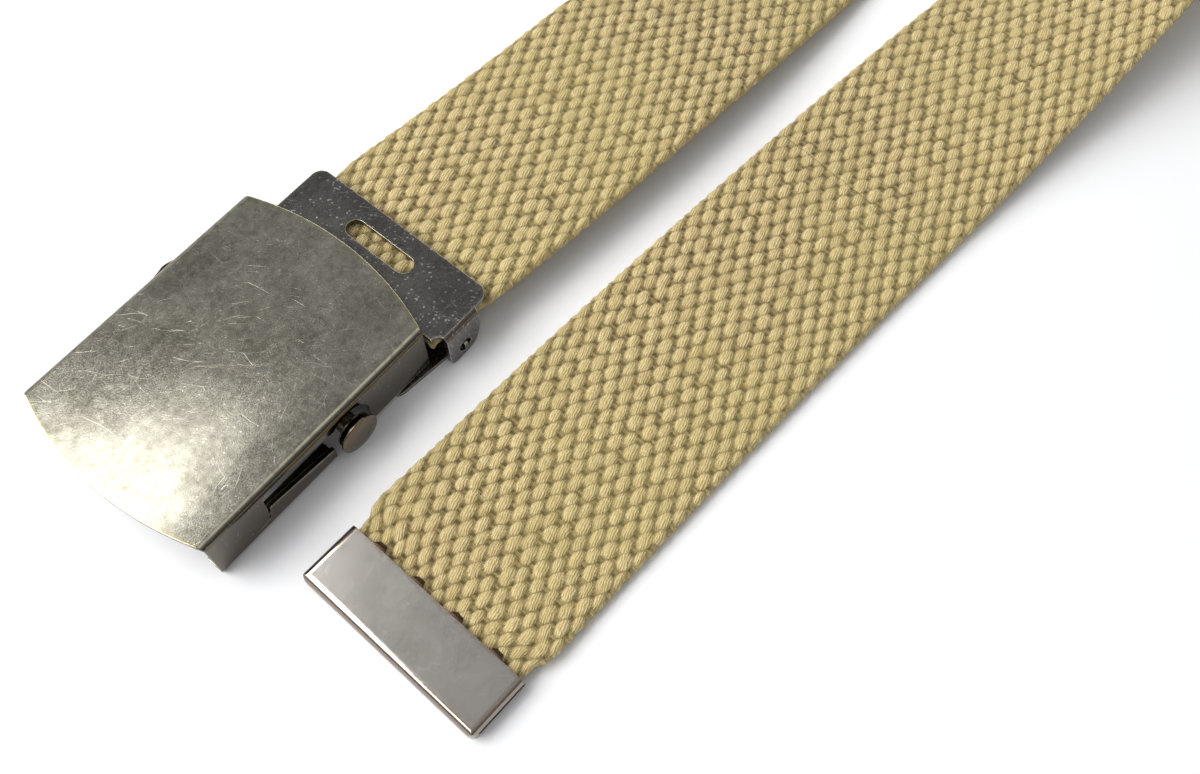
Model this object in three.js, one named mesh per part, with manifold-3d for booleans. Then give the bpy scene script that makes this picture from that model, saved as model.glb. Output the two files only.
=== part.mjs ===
// A canvas web belt with a sliding roller buckle, lying face up on a table.
// Its two ends lie side by side. Further on their outer edges rise, and the rest of the webbing stands
// on its edge in one round loop.
// Millimetres, +Z up. X runs along the buckle, from its open mouth to the strap that is clamped in it.
// The origin is on the table, under the middle of the whole belt.
import * as THREE from 'three';
import { mergeVertices } from 'three/addons/utils/BufferGeometryUtils.js';
import Module from 'manifold-3d';

const wasm = await Module();
wasm.setup();

const DEGREE = Math.PI / 180;
const weld = 1e-4; // corners closer than this are one corner
const past = 1; // how far a cutting shape runs past what it cuts

// Webbing
const webWidth = 31.6;
const webThick = 2.1;
const webLength = 1110;
const selvedge = 0.6; // rounding of the woven edge
const clipPinch = 1.4; // how much narrower the webbing is squeezed between the clip's ears
const capPress = 0.2; // how much thinner it is pressed inside the tip cap
const capPinchTail = 4; // length past the cap over which the width comes back
const capPressTail = 4; // the same for the thickness

// Clearance between pieces that touch
const gap = 0.3;

// Cover of the buckle: a face plate with both sides bent down and turned in
const coverSheet = 0.8;
const coverRoom = 2.4; // how much wider than the webbing it is outside
const coverWidth = webWidth + coverRoom;
const coverHeight = 9.7; // at the long edges of the face
const coverCrown = 0.5; // extra height along the middle
const wallLength = 39;
const endBow = 3.15; // how far the curved ends of the face stand out past the walls
const coverBend = 1.1; // outside radius of the long edges
const rimTurn = 2.6; // width of the lip turned in at the floor
const wallClear = 0.35; // the wall passes this far over the clamp flap

// Roller and the slanting slots that it slides in
const rollerRadius = 1.5; // thin enough that the tip cap passes between the roller and the face
const rollerBack = 14.6; // from the end of the wall to the resting roller
const rollerTravel = 13;
const rollerClear = 0.7; // room over and under the roller in its slots
const slotLift = 0.3; // the resting roller lies this far under the slot's middle line
const knobClear = 0.3; // room round its knobs in the arches
const archLift = 0.6; // middle of an arch over the resting roller
const slotSlope = 8.5 * DEGREE;
const slotCorner = 1.5;
const slitWidth = 0.35; // cut that lets the strip under the slot be turned in
const slitDrop = 2.4;
const slitBack = 2.6;
const knobRadius = 3.1;
const knobLift = 1.1; // the knobs hang this far above the table
const knobStand = 1.25; // from the wall to the back of a knob
const knobThick = 0.55;
const knobDome = 0.2;
const knobFlat = 1.9; // radius of the flat middle of a knob
const collarRadius = 2.75; // the bar's collars run along the outside of the walls
const collarThick = 0.35;

// Clip frame: the dark plate that holds the end of the strap
const clipSheet = 0.8;
const clipDrop = 1.3; // its top lies this far under the face
const clipBend = 1.3;
const clipSide = 2.75; // the clip lies this far off the middle of the cover
const clipReach = 11; // from the end of the wall to the clip's outer edge
const clipCorner = 1.8;
const clipInset = 0.6; // the flat edge beside the ears is set in by this much
const clipRoom = 0.2; // how much wider than the webbing it is inside
const shoulderGap = 0.45; // between the end of the wall and the clip's shoulders
const tongueReach = 7; // how far the tongue goes in under the face
const tongueClear = 0.45; // between the tongue and the wall that it lies beside
const bossWidth = 4; // width of the raised spots that carry the cover
const bossSide = 6.5; // their distance from the tongue's middle
const earStand = 4.85; // from the end of the wall to the middle of the ears
const earLength = 6.2;
const earRound = 2.6;
const earCorner = 1.05;
const earWaist = 3.75; // height where the ear starts to round off
const earLift = 0.15;
const notchRadius = 1.3;
const notchIn = 0.45; // its middle lies this far inside the ear's outer face
const eyeSlotLength = 11.9;
const eyeSlotWidth = 2.8;
const eyeSlotInset = 4.3; // from the clip's outer edge to the middle of the slot
const eyeSlotSide = 0.45; // the slot lies this far off the clip's middle

// Clamp flap that bites the strap from below
const flapSheet = 0.6;
const pivotBack = 0.15; // the pivot lies this far behind the middle of the ears
const pivotZ = 2.2;
const pivotHole = 1.1;
const lugHeight = 1.4;
const flapLength = 11.7; // from the pivot to the lifting edge
const flapTaper = 1.2; // how much each side narrows towards the lifting edge
const toothCount = 11;
const toothHeight = 1.0;

// Tip cap folded over the free end
const capSheet = 0.35;
const capLength = 9.2;
const capNarrower = 1.2; // how much narrower than the webbing it is outside
const capSlack = 0.25; // room beside the squeezed webbing inside it
const capThicker = 1.0; // how much thicker
const capWidth = webWidth - capNarrower;
const capThick = webThick + capThicker;
const capRound = 1.2;
const capSpare = 0.6; // the webbing stops this far short of the closed end
const prongCount = 4;
const prongPitch = 6.85;
const prongWidth = 2.2;
const prongReach = 0.9;

// Lie of the belt on the table, seen from above
const strapStart = 0.6; // from the end of the wall to the cut end in the clip
const strapSide = 2.85; // middle of the strap in the clip, off the middle of the cover
const strapSkew = -7.9 * DEGREE; // heading where the strap leaves the clip
const strapSkewRun = 12;
const strapRunOut = 140; // length from the clip to where the loop starts to open
const strapTurn = 11.1 * DEGREE; // slow turn over that stretch
const tipGap = 8.5; // clear space between the cover and the tip cap
const tipX = -14.3; // outer end of the tip cap
const tipHeading = -2.3 * DEGREE;
const tipTurn = -6.4 * DEGREE; // slow turn over the stretch from the tip
const twistStart = 90; // from either end of the webbing to where its outer edge starts to rise
const twistEnd = 260; // from either end to where it stands upright
const sinkStart = 50; // from the strap's end to where it starts to come down to the table
const sinkEnd = 110; // and to where it lies on the table
const flareRadius = 150; // bend that opens the loop
const capTail = 16; // length over which the webbing drops from the cap to the table

// Fineness of the faceted solids
const arcStep = 15 * DEGREE;
const bowStep = 5 * DEGREE;
const crownSteps = 9;
const strandStep = 6;
const loopStep = 7;
const lathePoints = 20;
const levelRounds = 6; // rounds of bringing both strands level
const loopRounds = 50; // halvings that find the loop of the right length
const widestFlare = 80 * DEGREE;

// Heights and places that follow from these
const wallEnd = wallLength / 2;
const wallLift = flapSheet + wallClear;
const rollerX = wallEnd - rollerBack;
const rollerZ = knobRadius + knobLift;
const slotHeight = 2 * (rollerRadius + rollerClear);
const archRadius = knobRadius + knobClear; // round end of the slot, open at the floor
const clipTop = coverHeight - coverSheet - clipDrop;
const clipOuterX = wallEnd + clipReach;
const tongueX = wallEnd - tongueReach;
const tongueWidth = coverWidth - 2 * (coverSheet + clipSide + tongueClear);
const earX = wallEnd + earStand;
const pivotX = earX - pivotBack;

const X = new THREE.Vector3(1, 0, 0);
const Y = new THREE.Vector3(0, 1, 0);
const Z = new THREE.Vector3(0, 0, 1);

// Solids from three.js geometry and back
function solid(geometry) {
  const bare = new THREE.BufferGeometry();
  bare.setAttribute('position', geometry.getAttribute('position'));
  if (geometry.index) bare.setIndex(geometry.index);
  const merged = mergeVertices(bare, weld);
  const vertProperties = new Float32Array(merged.attributes.position.array);
  const triVerts = new Uint32Array(merged.index.array);
  return new wasm.Manifold(new wasm.Mesh({ numProp: 3, vertProperties, triVerts }));
}

function geometryOf(shape) {
  const mesh = shape.getMesh();
  const geometry = new THREE.BufferGeometry();
  geometry.setAttribute('position', new THREE.BufferAttribute(mesh.vertProperties, 3));
  geometry.setIndex(new THREE.BufferAttribute(mesh.triVerts, 1));
  return geometry;
}

// A flat outline pushed along one axis from low to high.
// Along x the outline's two numbers are y and z, along y they are x and z, along z they are x and y.
function prism(points, axis, low, high) {
  const shape = new THREE.Shape(points.map(([a, b]) => new THREE.Vector2(a, b)));
  const geometry = new THREE.ExtrudeGeometry(shape, { depth: high - low, bevelEnabled: false });
  const place = new THREE.Matrix4();
  if (axis === 'x') place.makeBasis(Y, Z, X).setPosition(low, 0, 0);
  if (axis === 'y') place.makeBasis(X, Z, Y.clone().negate()).setPosition(0, high, 0);
  if (axis === 'z') place.setPosition(0, 0, low);
  return solid(geometry.applyMatrix4(place));
}

function block(lowX, highX, lowY, highY, lowZ, highZ) {
  return prism([[lowX, lowY], [highX, lowY], [highX, highY], [lowX, highY]], 'z', lowZ, highZ);
}

// A chain of corners with a rounding radius each: [a, b, radius]
function rounded(corners, closed) {
  const points = [];
  corners.forEach(([a, b, radius = 0], i) => {
    const inside = closed || (i > 0 && i < corners.length - 1);
    if (!radius || !inside) {
      points.push([a, b]);
      return;
    }
    const here = new THREE.Vector2(a, b);
    const before = corners[(i + corners.length - 1) % corners.length];
    const after = corners[(i + 1) % corners.length];
    const back = new THREE.Vector2(before[0], before[1]).sub(here).normalize();
    const on = new THREE.Vector2(after[0], after[1]).sub(here).normalize();
    const half = Math.acos(THREE.MathUtils.clamp(back.dot(on), -1, 1)) / 2;
    const reach = radius / Math.tan(half);
    const middle = back.clone().add(on).normalize();
    const centre = middle.multiplyScalar(radius / Math.sin(half)).add(here);
    const first = back.multiplyScalar(reach).add(here).sub(centre);
    const sweep = Math.PI - 2 * half;
    const cross = first.x * (on.y * reach + here.y - centre.y) - first.y * (on.x * reach + here.x - centre.x);
    const steps = Math.max(1, Math.ceil(sweep / arcStep));
    for (let k = 0; k <= steps; k++) {
      const turned = first.clone().rotateAround(new THREE.Vector2(), (Math.sign(cross) * sweep * k) / steps);
      points.push([centre.x + turned.x, centre.y + turned.y]);
    }
  });
  return points;
}

// The cut edge of a bent sheet: its middle line, thickened to both sides
function bentSheet(line, thick) {
  const sides = line.map(([a, b], i) => {
    const [a0, b0] = line[Math.max(i - 1, 0)];
    const [a1, b1] = line[Math.min(i + 1, line.length - 1)];
    const along = new THREE.Vector2(a1 - a0, b1 - b0).normalize();
    const across = new THREE.Vector2(-along.y, along.x).multiplyScalar(thick / 2);
    return [[a + across.x, b + across.y], [a - across.x, b - across.y]];
  });
  return [...sides.map((s) => s[0]), ...sides.map((s) => s[1]).reverse()];
}

// The outline of a hole with round ends, long in its second number
function longHole(a, b, length, width) {
  const radius = width / 2;
  const steps = Math.ceil(Math.PI / arcStep);
  const roundEnd = (side) => Array.from({ length: steps + 1 }, (_, i) => {
    const angle = (Math.PI * i) / steps;
    const offset = length / 2 - radius + radius * Math.sin(angle);
    return [a + side * radius * Math.cos(angle), b + side * offset];
  });
  return [...roundEnd(1), ...roundEnd(-1)];
}

function circle(a, b, radius) {
  const count = Math.ceil((2 * Math.PI) / arcStep);
  return Array.from({ length: count }, (_, i) => {
    const angle = (2 * Math.PI * i) / count;
    return [a + radius * Math.cos(angle), b + radius * Math.sin(angle)];
  });
}

// Smooth step from 0 at low to 1 at high
function ease(value, low, high) {
  return THREE.MathUtils.smoothstep(value, low, high);
}

// Cover
const coverTopMiddle = coverHeight - coverSheet / 2;
const wallMiddle = coverWidth / 2 - coverSheet / 2;
const insideHeight = coverHeight - coverSheet; // floor to the underside of the face at its long edges

function crownHeight(y) {
  return coverCrown * (1 - (y / wallMiddle) ** 2);
}

function faceOutline() {
  const half = coverWidth / 2;
  const radius = (half ** 2 + endBow ** 2) / (2 * endBow);
  const reach = Math.asin(half / radius);
  const steps = 2 * Math.ceil(reach / bowStep);
  const bow = Array.from({ length: steps + 1 }, (_, i) => {
    const angle = -reach + (2 * reach * i) / steps;
    return [wallEnd + endBow - radius + radius * Math.cos(angle), radius * Math.sin(angle)];
  });
  return [...bow, ...bow.map(([a, b]) => [-a, -b])];
}

// The height of the slot's middle line
function slotLine(x) {
  return rollerZ + slotLift + (rollerX - x) * Math.tan(slotSlope);
}

function slotCut() {
  const back = rollerX - rollerTravel * Math.cos(slotSlope) - slotHeight / 2;
  const half = slotHeight / 2;
  return [
    rounded([
      [rollerX, slotLine(rollerX) + half],
      [back, slotLine(back) + half, slotCorner],
      [back, slotLine(back) - half],
      [rollerX, slotLine(rollerX) - half],
    ], true),
    circle(rollerX, rollerZ + archLift, archRadius),
    [
      [rollerX - archRadius, rollerZ + archLift],
      [rollerX - archRadius, -past],
      [rollerX + archRadius, -past],
      [rollerX + archRadius, rollerZ + archLift],
    ],
    bentSheet([
      [back + slitWidth / 2, slotLine(back) - half + slitWidth],
      [back - slitWidth, slotLine(back) - half - slitDrop],
      [back - slitBack, slotLine(back) - half - slitDrop - slitWidth],
    ], slitWidth),
  ];
}

function makeCover() {
  const crown = Array.from({ length: crownSteps + 1 }, (_, i) => {
    const y = wallMiddle - (2 * wallMiddle * i) / crownSteps;
    return [y, coverTopMiddle + crownHeight(y), i === 0 || i === crownSteps ? coverBend - coverSheet / 2 : 0];
  });
  const lip = wallMiddle - rimTurn;
  const lineHeight = coverSheet / 2;
  const line = rounded([
    [lip, lineHeight],
    [wallMiddle, lineHeight, coverBend - coverSheet / 2],
    ...crown,
    [-wallMiddle, lineHeight, coverBend - coverSheet / 2],
    [-lip, lineHeight],
  ], false);
  const reach = wallEnd + endBow + past;
  const half = coverWidth / 2 + past;
  const inner = lip - past;
  let cover = prism(bentSheet(line, coverSheet), 'x', -reach, reach);
  cover = cover.intersect(prism(faceOutline(), 'z', -past, coverHeight + coverCrown + past));
  cover = cover.subtract(block(wallEnd, reach, -half, half, -past, insideHeight));
  cover = cover.subtract(block(-reach, -wallEnd, -half, half, -past, insideHeight));
  cover = cover.subtract(block(rollerX, reach, -half, half, -past, wallLift));
  for (const cut of slotCut()) {
    cover = cover.subtract(prism(cut, 'y', inner, half));
    cover = cover.subtract(prism(cut, 'y', -half, -inner));
  }
  return geometryOf(cover);
}

// Clip frame, drawn about its own middle line and moved to its side afterwards
const clipInside = webWidth + clipRoom;
const clipHalf = clipInside / 2 + clipSheet;
const clipUnder = clipTop - clipSheet;

function makeClip() {
  const edge = clipHalf - clipInset;
  const shoulder = wallEnd + shoulderGap;
  const tongue = tongueWidth / 2;
  const plate = rounded([
    [clipOuterX, -edge, clipCorner],
    [clipOuterX, edge, clipCorner],
    [shoulder, edge],
    [shoulder, tongue],
    [tongueX, tongue, clipCorner],
    [tongueX, -tongue, clipCorner],
    [shoulder, -tongue],
    [shoulder, -edge],
  ], true);
  const middle = clipHalf - clipSheet / 2;
  const line = rounded([
    [middle, -past],
    [middle, clipTop - clipSheet / 2, clipBend - clipSheet / 2],
    [-middle, clipTop - clipSheet / 2, clipBend - clipSheet / 2],
    [-middle, -past],
  ], false);
  const earLow = earX - earLength / 2;
  const earHigh = earX + earLength / 2;
  const ears = rounded([
    [earLow, clipTop + past],
    [earLow, earLift, earCorner],
    [earHigh - earCorner, earLift, earRound],
    [earHigh, earWaist, earRound],
    [earHigh, clipTop + past],
  ], true);
  let clip = prism(bentSheet(line, clipSheet), 'x', earLow, earHigh);
  clip = clip.intersect(prism(ears, 'y', -clipHalf - past, clipHalf + past));
  clip = clip.add(prism(plate, 'z', clipUnder, clipTop));
  const eye = longHole(clipOuterX - eyeSlotInset, eyeSlotSide, eyeSlotLength, eyeSlotWidth);
  clip = clip.subtract(prism(eye, 'z', clipUnder - past, clipTop + past));
  clip = clip.subtract(prism(circle(pivotX, pivotZ, pivotHole), 'y', -clipHalf - past, clipHalf + past));
  for (const side of [-1, 1]) {
    const notch = circle(earLow - notchRadius, side * (clipHalf - notchIn), notchRadius);
    clip = clip.subtract(prism(notch, 'z', -past, clipTop + past));
    const bossTop = insideHeight + crownHeight(bossSide + clipSide + bossWidth / 2) - gap;
    const spot = circle((tongueX + shoulder) / 2, side * bossSide, bossWidth / 2);
    clip = clip.add(prism(spot, 'z', clipUnder, bossTop));
  }
  return geometryOf(clip);
}

// Clamp flap, drawn about the clip's middle line
function makeFlap() {
  const half = clipInside / 2 - gap;
  const tipX = pivotX - flapLength;
  const postLow = pivotX - flapSheet / 2;
  const postHigh = pivotX + flapSheet / 2;
  const lever = rounded([
    [tipX, -half + flapTaper, clipCorner],
    [postHigh, -half],
    [postHigh, half],
    [tipX, half - flapTaper, clipCorner],
  ], true);
  const biteTop = clipUnder - gap - webThick - gap;
  const toothBase = biteTop - toothHeight;
  const pitch = (2 * half) / toothCount;
  const comb = [[-half, 0], [half, 0]];
  for (let i = 0; i < toothCount; i++) {
    comb.push([half - pitch * i, toothBase]);
    comb.push([half - pitch * (i + 0.5), biteTop]);
  }
  comb.push([-half, toothBase]);
  const reach = clipHalf + flapSheet / 2;
  const lugs = block(postLow, postHigh, -reach, reach, pivotZ - lugHeight / 2, pivotZ + lugHeight / 2);
  return geometryOf(prism(lever, 'z', 0, flapSheet).add(prism(comb, 'x', postLow, postHigh)).add(lugs));
}

// Roller: a bar across the buckle with a collar and a thin round knob outside each wall
function makeRoller() {
  const neck = coverWidth / 2 + gap;
  const back = coverWidth / 2 + knobStand;
  const face = back + knobThick;
  const half = [
    [rollerRadius, neck],
    [collarRadius, neck],
    [collarRadius, neck + collarThick],
    [rollerRadius, neck + collarThick],
    [rollerRadius, back],
    [knobRadius, back],
    [knobRadius, face - knobDome],
    [knobFlat, face],
    [0, face],
  ];
  const mirrored = half.map(([r, y]) => [r, -y]).reverse();
  const profile = [...mirrored, ...half].map(([r, y]) => new THREE.Vector2(r, y));
  return geometryOf(solid(new THREE.LatheGeometry(profile, lathePoints)));
}

// Tip cap, drawn with its closed end at x = 0 and the webbing leaving along +X
const capInside = capThick - 2 * capSheet;

function capShell(offset) {
  const round = capRound - offset;
  const low = offset;
  const high = capThick - offset;
  const half = capWidth / 2 - offset;
  const open = capLength + (offset ? past : 0);
  const along = rounded([[open, high], [offset, high, round], [offset, low, round], [open, low]], true);
  const across = rounded([[half, high, round], [-half, high, round], [-half, low, round], [half, low, round]], true);
  const above = rounded([[open, half], [offset, half, round], [offset, -half, round], [open, -half]], true);
  return prism(along, 'y', -half - past, half + past)
    .intersect(prism(across, 'x', -past, open))
    .intersect(prism(above, 'z', -past, capThick + past));
}

function makeCap() {
  let cap = capShell(0).subtract(capShell(capSheet));
  for (let i = 0; i < prongCount; i++) {
    const y = prongPitch * (i - (prongCount - 1) / 2);
    const prong = [
      [capLength - gap, y - prongWidth / 2],
      [capLength + prongReach, y - prongWidth / 4],
      [capLength + prongReach, y + prongWidth / 4],
      [capLength - gap, y + prongWidth / 2],
    ];
    cap = cap.add(prism(prong, 'z', capThick - capSheet, capThick));
  }
  return geometryOf(cap);
}

// The webbing's middle line, seen from above: arcs that follow one another
function follow(start, turn, length, step) {
  const count = Math.max(1, Math.round(length / step));
  const stations = [];
  for (let i = 1; i <= count; i++) {
    const share = i / count;
    const heading = start.heading + turn * share;
    const middle = start.heading + (turn * share) / 2;
    const swing = (turn * share) / 2;
    const chord = length * share * (swing ? Math.sin(swing) / swing : 1);
    stations.push({
      x: start.x + chord * Math.cos(middle),
      y: start.y + chord * Math.sin(middle),
      heading,
      along: start.along + length * share,
    });
  }
  return stations;
}

function lastOf(list) {
  return list[list.length - 1];
}

// Both flat strands, from the ends of the webbing outwards
const tipSide = coverWidth / 2 + tipGap + capWidth / 2;
const capEnd = { x: tipX, y: -tipSide, heading: tipHeading, along: 0 };

function strapStrand() {
  const strand = [{ x: wallEnd + strapStart, y: -strapSide, heading: 0, along: 0 }];
  strand.push(...follow(lastOf(strand), strapSkew, strapSkewRun, strandStep / 2));
  strand.push(...follow(lastOf(strand), strapTurn, strapRunOut - strapSkewRun, strandStep));
  return strand;
}

function tipStrand(flat) {
  const inset = capSheet + capSpare;
  const start = follow(capEnd, 0, inset, inset)[0];
  const strand = [{ ...start, along: 0 }];
  strand.push(...follow(lastOf(strand), 0, capLength, strandStep / 2));
  strand.push(...follow(lastOf(strand), tipTurn, flat - capLength, strandStep));
  return strand;
}

// The tip strand ends level with the strap strand, so that the loop is the same on both sides
function levelStrands() {
  const strap = strapStrand();
  let flat = strapRunOut;
  let tip = tipStrand(flat);
  for (let i = 0; i < levelRounds; i++) {
    const a = lastOf(strap);
    const b = lastOf(tip);
    const axis = (a.heading + b.heading) / 2;
    const ahead = (b.x - a.x) * Math.cos(axis) + (b.y - a.y) * Math.sin(axis);
    flat -= ahead;
    tip = tipStrand(flat);
  }
  return { strap, tip };
}

const { strap: strapRun, tip: tipRun } = levelStrands();

// The loop: each side flares out by the same angle and one round arc joins them
const flareFrom = (lastOf(strapRun).heading - lastOf(tipRun).heading) / 2;
const strandHalf = Math.hypot(lastOf(strapRun).x - lastOf(tipRun).x, lastOf(strapRun).y - lastOf(tipRun).y) / 2;

function loopFor(flare) {
  const out = strandHalf + flareRadius * (Math.cos(flareFrom) - Math.cos(flare));
  const radius = out / Math.cos(flare);
  const side = flareRadius * (flare - flareFrom);
  return { flare, radius, side, length: 2 * side + radius * (Math.PI + 2 * flare) };
}

function fitLoop() {
  const wanted = webLength - lastOf(strapRun).along - lastOf(tipRun).along;
  let low = flareFrom;
  let high = widestFlare;
  for (let i = 0; i < loopRounds; i++) {
    const flare = (low + high) / 2;
    if (loopFor(flare).length < wanted) low = flare;
    else high = flare;
  }
  return loopFor(low);
}

function middleLine() {
  const loop = fitLoop();
  const opening = loop.flare - flareFrom;
  const line = [...strapRun];
  line.push(...follow(lastOf(line), opening, loop.side, loopStep));
  line.push(...follow(lastOf(line), -Math.PI - 2 * loop.flare, loop.radius * (Math.PI + 2 * loop.flare), loopStep));
  const tipSideLine = [...tipRun];
  tipSideLine.push(...follow(lastOf(tipSideLine), -opening, loop.side, loopStep));
  const total = lastOf(line).along + lastOf(tipSideLine).along;
  tipSideLine.pop(); // it ends where the round arc ends
  for (const s of tipSideLine.reverse()) {
    line.push({ x: s.x, y: s.y, heading: s.heading - Math.PI, along: total - s.along });
  }
  return { line, total };
}

// How the webbing lies at each station: its roll up on edge, height, width and thickness
function lieAt(fromStrap, fromTip) {
  const roll = 90 * DEGREE * ease(fromStrap, twistStart, twistEnd) * ease(fromTip, twistStart, twistEnd);
  const clipLift = clipUnder - gap - webThick;
  const capLift = capSheet + (capInside - webThick + capPress) / 2;
  const lift = clipLift * (1 - ease(fromStrap, sinkStart, sinkEnd))
    + capLift * (1 - ease(fromTip, capLength, capLength + capTail));
  const earEnd = earStand + earLength / 2 - strapStart;
  const capPinch = webWidth - capWidth + 2 * (capSheet + capSlack);
  const width = webWidth
    - clipPinch * (1 - ease(fromStrap, earEnd + gap, earEnd + earLength))
    - capPinch * (1 - ease(fromTip, capLength, capLength + capPinchTail));
  const thick = webThick - capPress * (1 - ease(fromTip, capLength - gap, capLength + capPressTail));
  const rest = (width / 2) * Math.sin(roll) + (thick / 2) * Math.cos(roll);
  return { roll, width, thick, height: rest + lift };
}

function makeWebbing() {
  const { line, total } = middleLine();
  const positions = [];
  const index = [];
  const corners = 8;
  line.forEach(({ x, y, heading, along }, i) => {
    const { roll, width, thick, height } = lieAt(along, total - along);
    const left = new THREE.Vector3(-Math.sin(heading), Math.cos(heading), 0);
    const across = left.clone().multiplyScalar(Math.cos(roll)).addScaledVector(Z, Math.sin(roll));
    const up = Z.clone().multiplyScalar(Math.cos(roll)).addScaledVector(left, -Math.sin(roll));
    const a = width / 2;
    const b = thick / 2;
    const c = a - selvedge;
    const d = b - selvedge;
    for (const [p, q] of [[-c, -b], [c, -b], [a, -d], [a, d], [c, b], [-c, b], [-a, d], [-a, -d]]) {
      const point = new THREE.Vector3(x, y, height).addScaledVector(across, p).addScaledVector(up, q);
      positions.push(point.x, point.y, Math.max(point.z, 0));
    }
    if (i === 0) return;
    for (let k = 0; k < corners; k++) {
      const n = (k + 1) % corners;
      const here = i * corners;
      const before = here - corners;
      index.push(before + k, here + n, here + k, before + k, before + n, here + n);
    }
  });
  const last = (line.length - 1) * corners;
  for (let k = 1; k < corners - 1; k++) {
    index.push(0, k + 1, k);
    index.push(last, last + k, last + k + 1);
  }
  const geometry = new THREE.BufferGeometry();
  geometry.setAttribute('position', new THREE.Float32BufferAttribute(positions, 3));
  geometry.setIndex(index);
  return geometry;
}

// Materials
const canvas = new THREE.MeshStandardMaterial({ color: 0xb39a60, roughness: 0.95, metalness: 0 });
const agedNickel = new THREE.MeshStandardMaterial({ color: 0x77735f, roughness: 0.38, metalness: 1 });
const gunmetal = new THREE.MeshStandardMaterial({ color: 0x4c4a47, roughness: 0.42, metalness: 1 });
const satinNickel = new THREE.MeshStandardMaterial({ color: 0x86827c, roughness: 0.35, metalness: 1 });
const darkBrass = new THREE.MeshStandardMaterial({ color: 0x5d4c34, roughness: 0.35, metalness: 1 });

function piece(name, geometry, material, place) {
  const mesh = new THREE.Mesh(geometry, material);
  mesh.name = name;
  if (place) mesh.position.copy(place);
  return mesh;
}

const belt = new THREE.Group();
const clipPlace = new THREE.Vector3(0, -clipSide, 0);
belt.add(piece('webbing', makeWebbing(), canvas));
belt.add(piece('face_cover', makeCover(), agedNickel));
belt.add(piece('clip_frame', makeClip(), gunmetal, clipPlace));
belt.add(piece('clamp_flap', makeFlap(), gunmetal, clipPlace));
belt.add(piece('roller', makeRoller(), darkBrass, new THREE.Vector3(rollerX, 0, rollerZ)));
const cap = piece('tip_cap', makeCap(), satinNickel, new THREE.Vector3(capEnd.x, capEnd.y, 0));
cap.rotation.z = tipHeading;
belt.add(cap);

// The origin comes under the middle of the whole belt
const reach = new THREE.Box3().setFromObject(belt, true);
const centre = reach.getCenter(new THREE.Vector3());
belt.position.set(-centre.x, -centre.y, -reach.min.z);

export default belt;
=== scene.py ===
# %% [markdown]
# # A canvas web belt, dressed over its solids
#
# The belt is one long strip of thick cotton web. One end is clamped in a small sliding-roller buckle,
# and the other is closed by a folded metal cap. This lesson gives every piece its real surface: woven
# floats and pits in the web, rounded edges, scratches and worn lines on the metal.
#
# The solids stay where they are and give every place. Each piece below replaces its own solid.

# %% Load the solids and keep the box that they fill
import math

import bmesh
import bpy
import numpy as np
from mathutils import Matrix, Vector


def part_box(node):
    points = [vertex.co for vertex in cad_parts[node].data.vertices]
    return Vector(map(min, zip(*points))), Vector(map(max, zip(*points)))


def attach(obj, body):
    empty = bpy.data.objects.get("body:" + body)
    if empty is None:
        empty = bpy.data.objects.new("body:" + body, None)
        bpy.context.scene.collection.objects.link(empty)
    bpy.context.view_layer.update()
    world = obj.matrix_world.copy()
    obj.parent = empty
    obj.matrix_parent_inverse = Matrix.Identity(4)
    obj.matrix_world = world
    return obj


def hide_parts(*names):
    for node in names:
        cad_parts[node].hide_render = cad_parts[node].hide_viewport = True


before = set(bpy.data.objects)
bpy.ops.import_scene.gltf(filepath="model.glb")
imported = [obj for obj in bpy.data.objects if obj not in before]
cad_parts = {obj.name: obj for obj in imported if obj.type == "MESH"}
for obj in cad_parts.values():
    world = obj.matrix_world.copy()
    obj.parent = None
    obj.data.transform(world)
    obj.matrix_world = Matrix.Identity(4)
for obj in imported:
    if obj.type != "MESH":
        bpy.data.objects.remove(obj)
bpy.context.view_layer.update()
print("solids:", sorted(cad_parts))

# %% [markdown]
# ## Millimetres about the middle of the buckle
#
# A buckle is measured in millimetres, so every piece is made in millimetres about the middle of its
# cover and is brought into the belt's own frame, in metres, as its last step. The cover's solid says
# where that middle is, so nothing is placed by eye.

# %% The buckle's middle
MM = 0.001
cover_low, cover_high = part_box("face_cover")
BUCKLE = Vector(((cover_low.x + cover_high.x) / 2, (cover_low.y + cover_high.y) / 2, 0.0))
TO_BELT = Matrix.Translation(BUCKLE) @ Matrix.Scale(MM, 4)
print("buckle's middle, m:", [round(x, 5) for x in BUCKLE])

# %% [markdown]
# ## The camera
#
# The photo is taken from close by, looking steeply down: the far strands look narrower than the near
# ones. Three points fix such a view: where the lens is, where it looks, and which way is right. They
# come from a fit of the straight edges of the webbing and the face plate.

# %% Camera
LENS_PLACE = Vector((-26.56, -85.43, 159.3))
LENS_AIM = Vector((31.79, -37.17, 0.0))
LENS_RIGHT = Vector((0.637, -0.770, 0.0)).normalized()
LENS_MM = 38.54

ahead = (LENS_AIM - LENS_PLACE).normalized()
side = (LENS_RIGHT - LENS_RIGHT.dot(ahead) * ahead).normalized()
above = side.cross(ahead)
camera = bpy.data.objects.new("camera", bpy.data.cameras.new("camera"))
bpy.context.scene.collection.objects.link(camera)
bpy.context.scene.camera = camera
camera.data.lens = LENS_MM
camera.data.sensor_width = 36.0
camera.data.clip_start = 0.01
turn = Matrix((side, above, -ahead)).transposed().to_4x4()
camera.matrix_world = Matrix.Translation(TO_BELT @ LENS_PLACE) @ turn
print("camera, m:", [round(x, 4) for x in camera.location])

# %% [markdown]
# ## Floor
#
# The belt lies on a plain white board. A backdrop that curves up would hide a horizon, but the camera
# looks down and sees none, so one flat rectangle is enough. It is much larger than the view, so that
# its edge never shows.

# %% Floor
FLOOR_SIZE = 6.0


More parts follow.
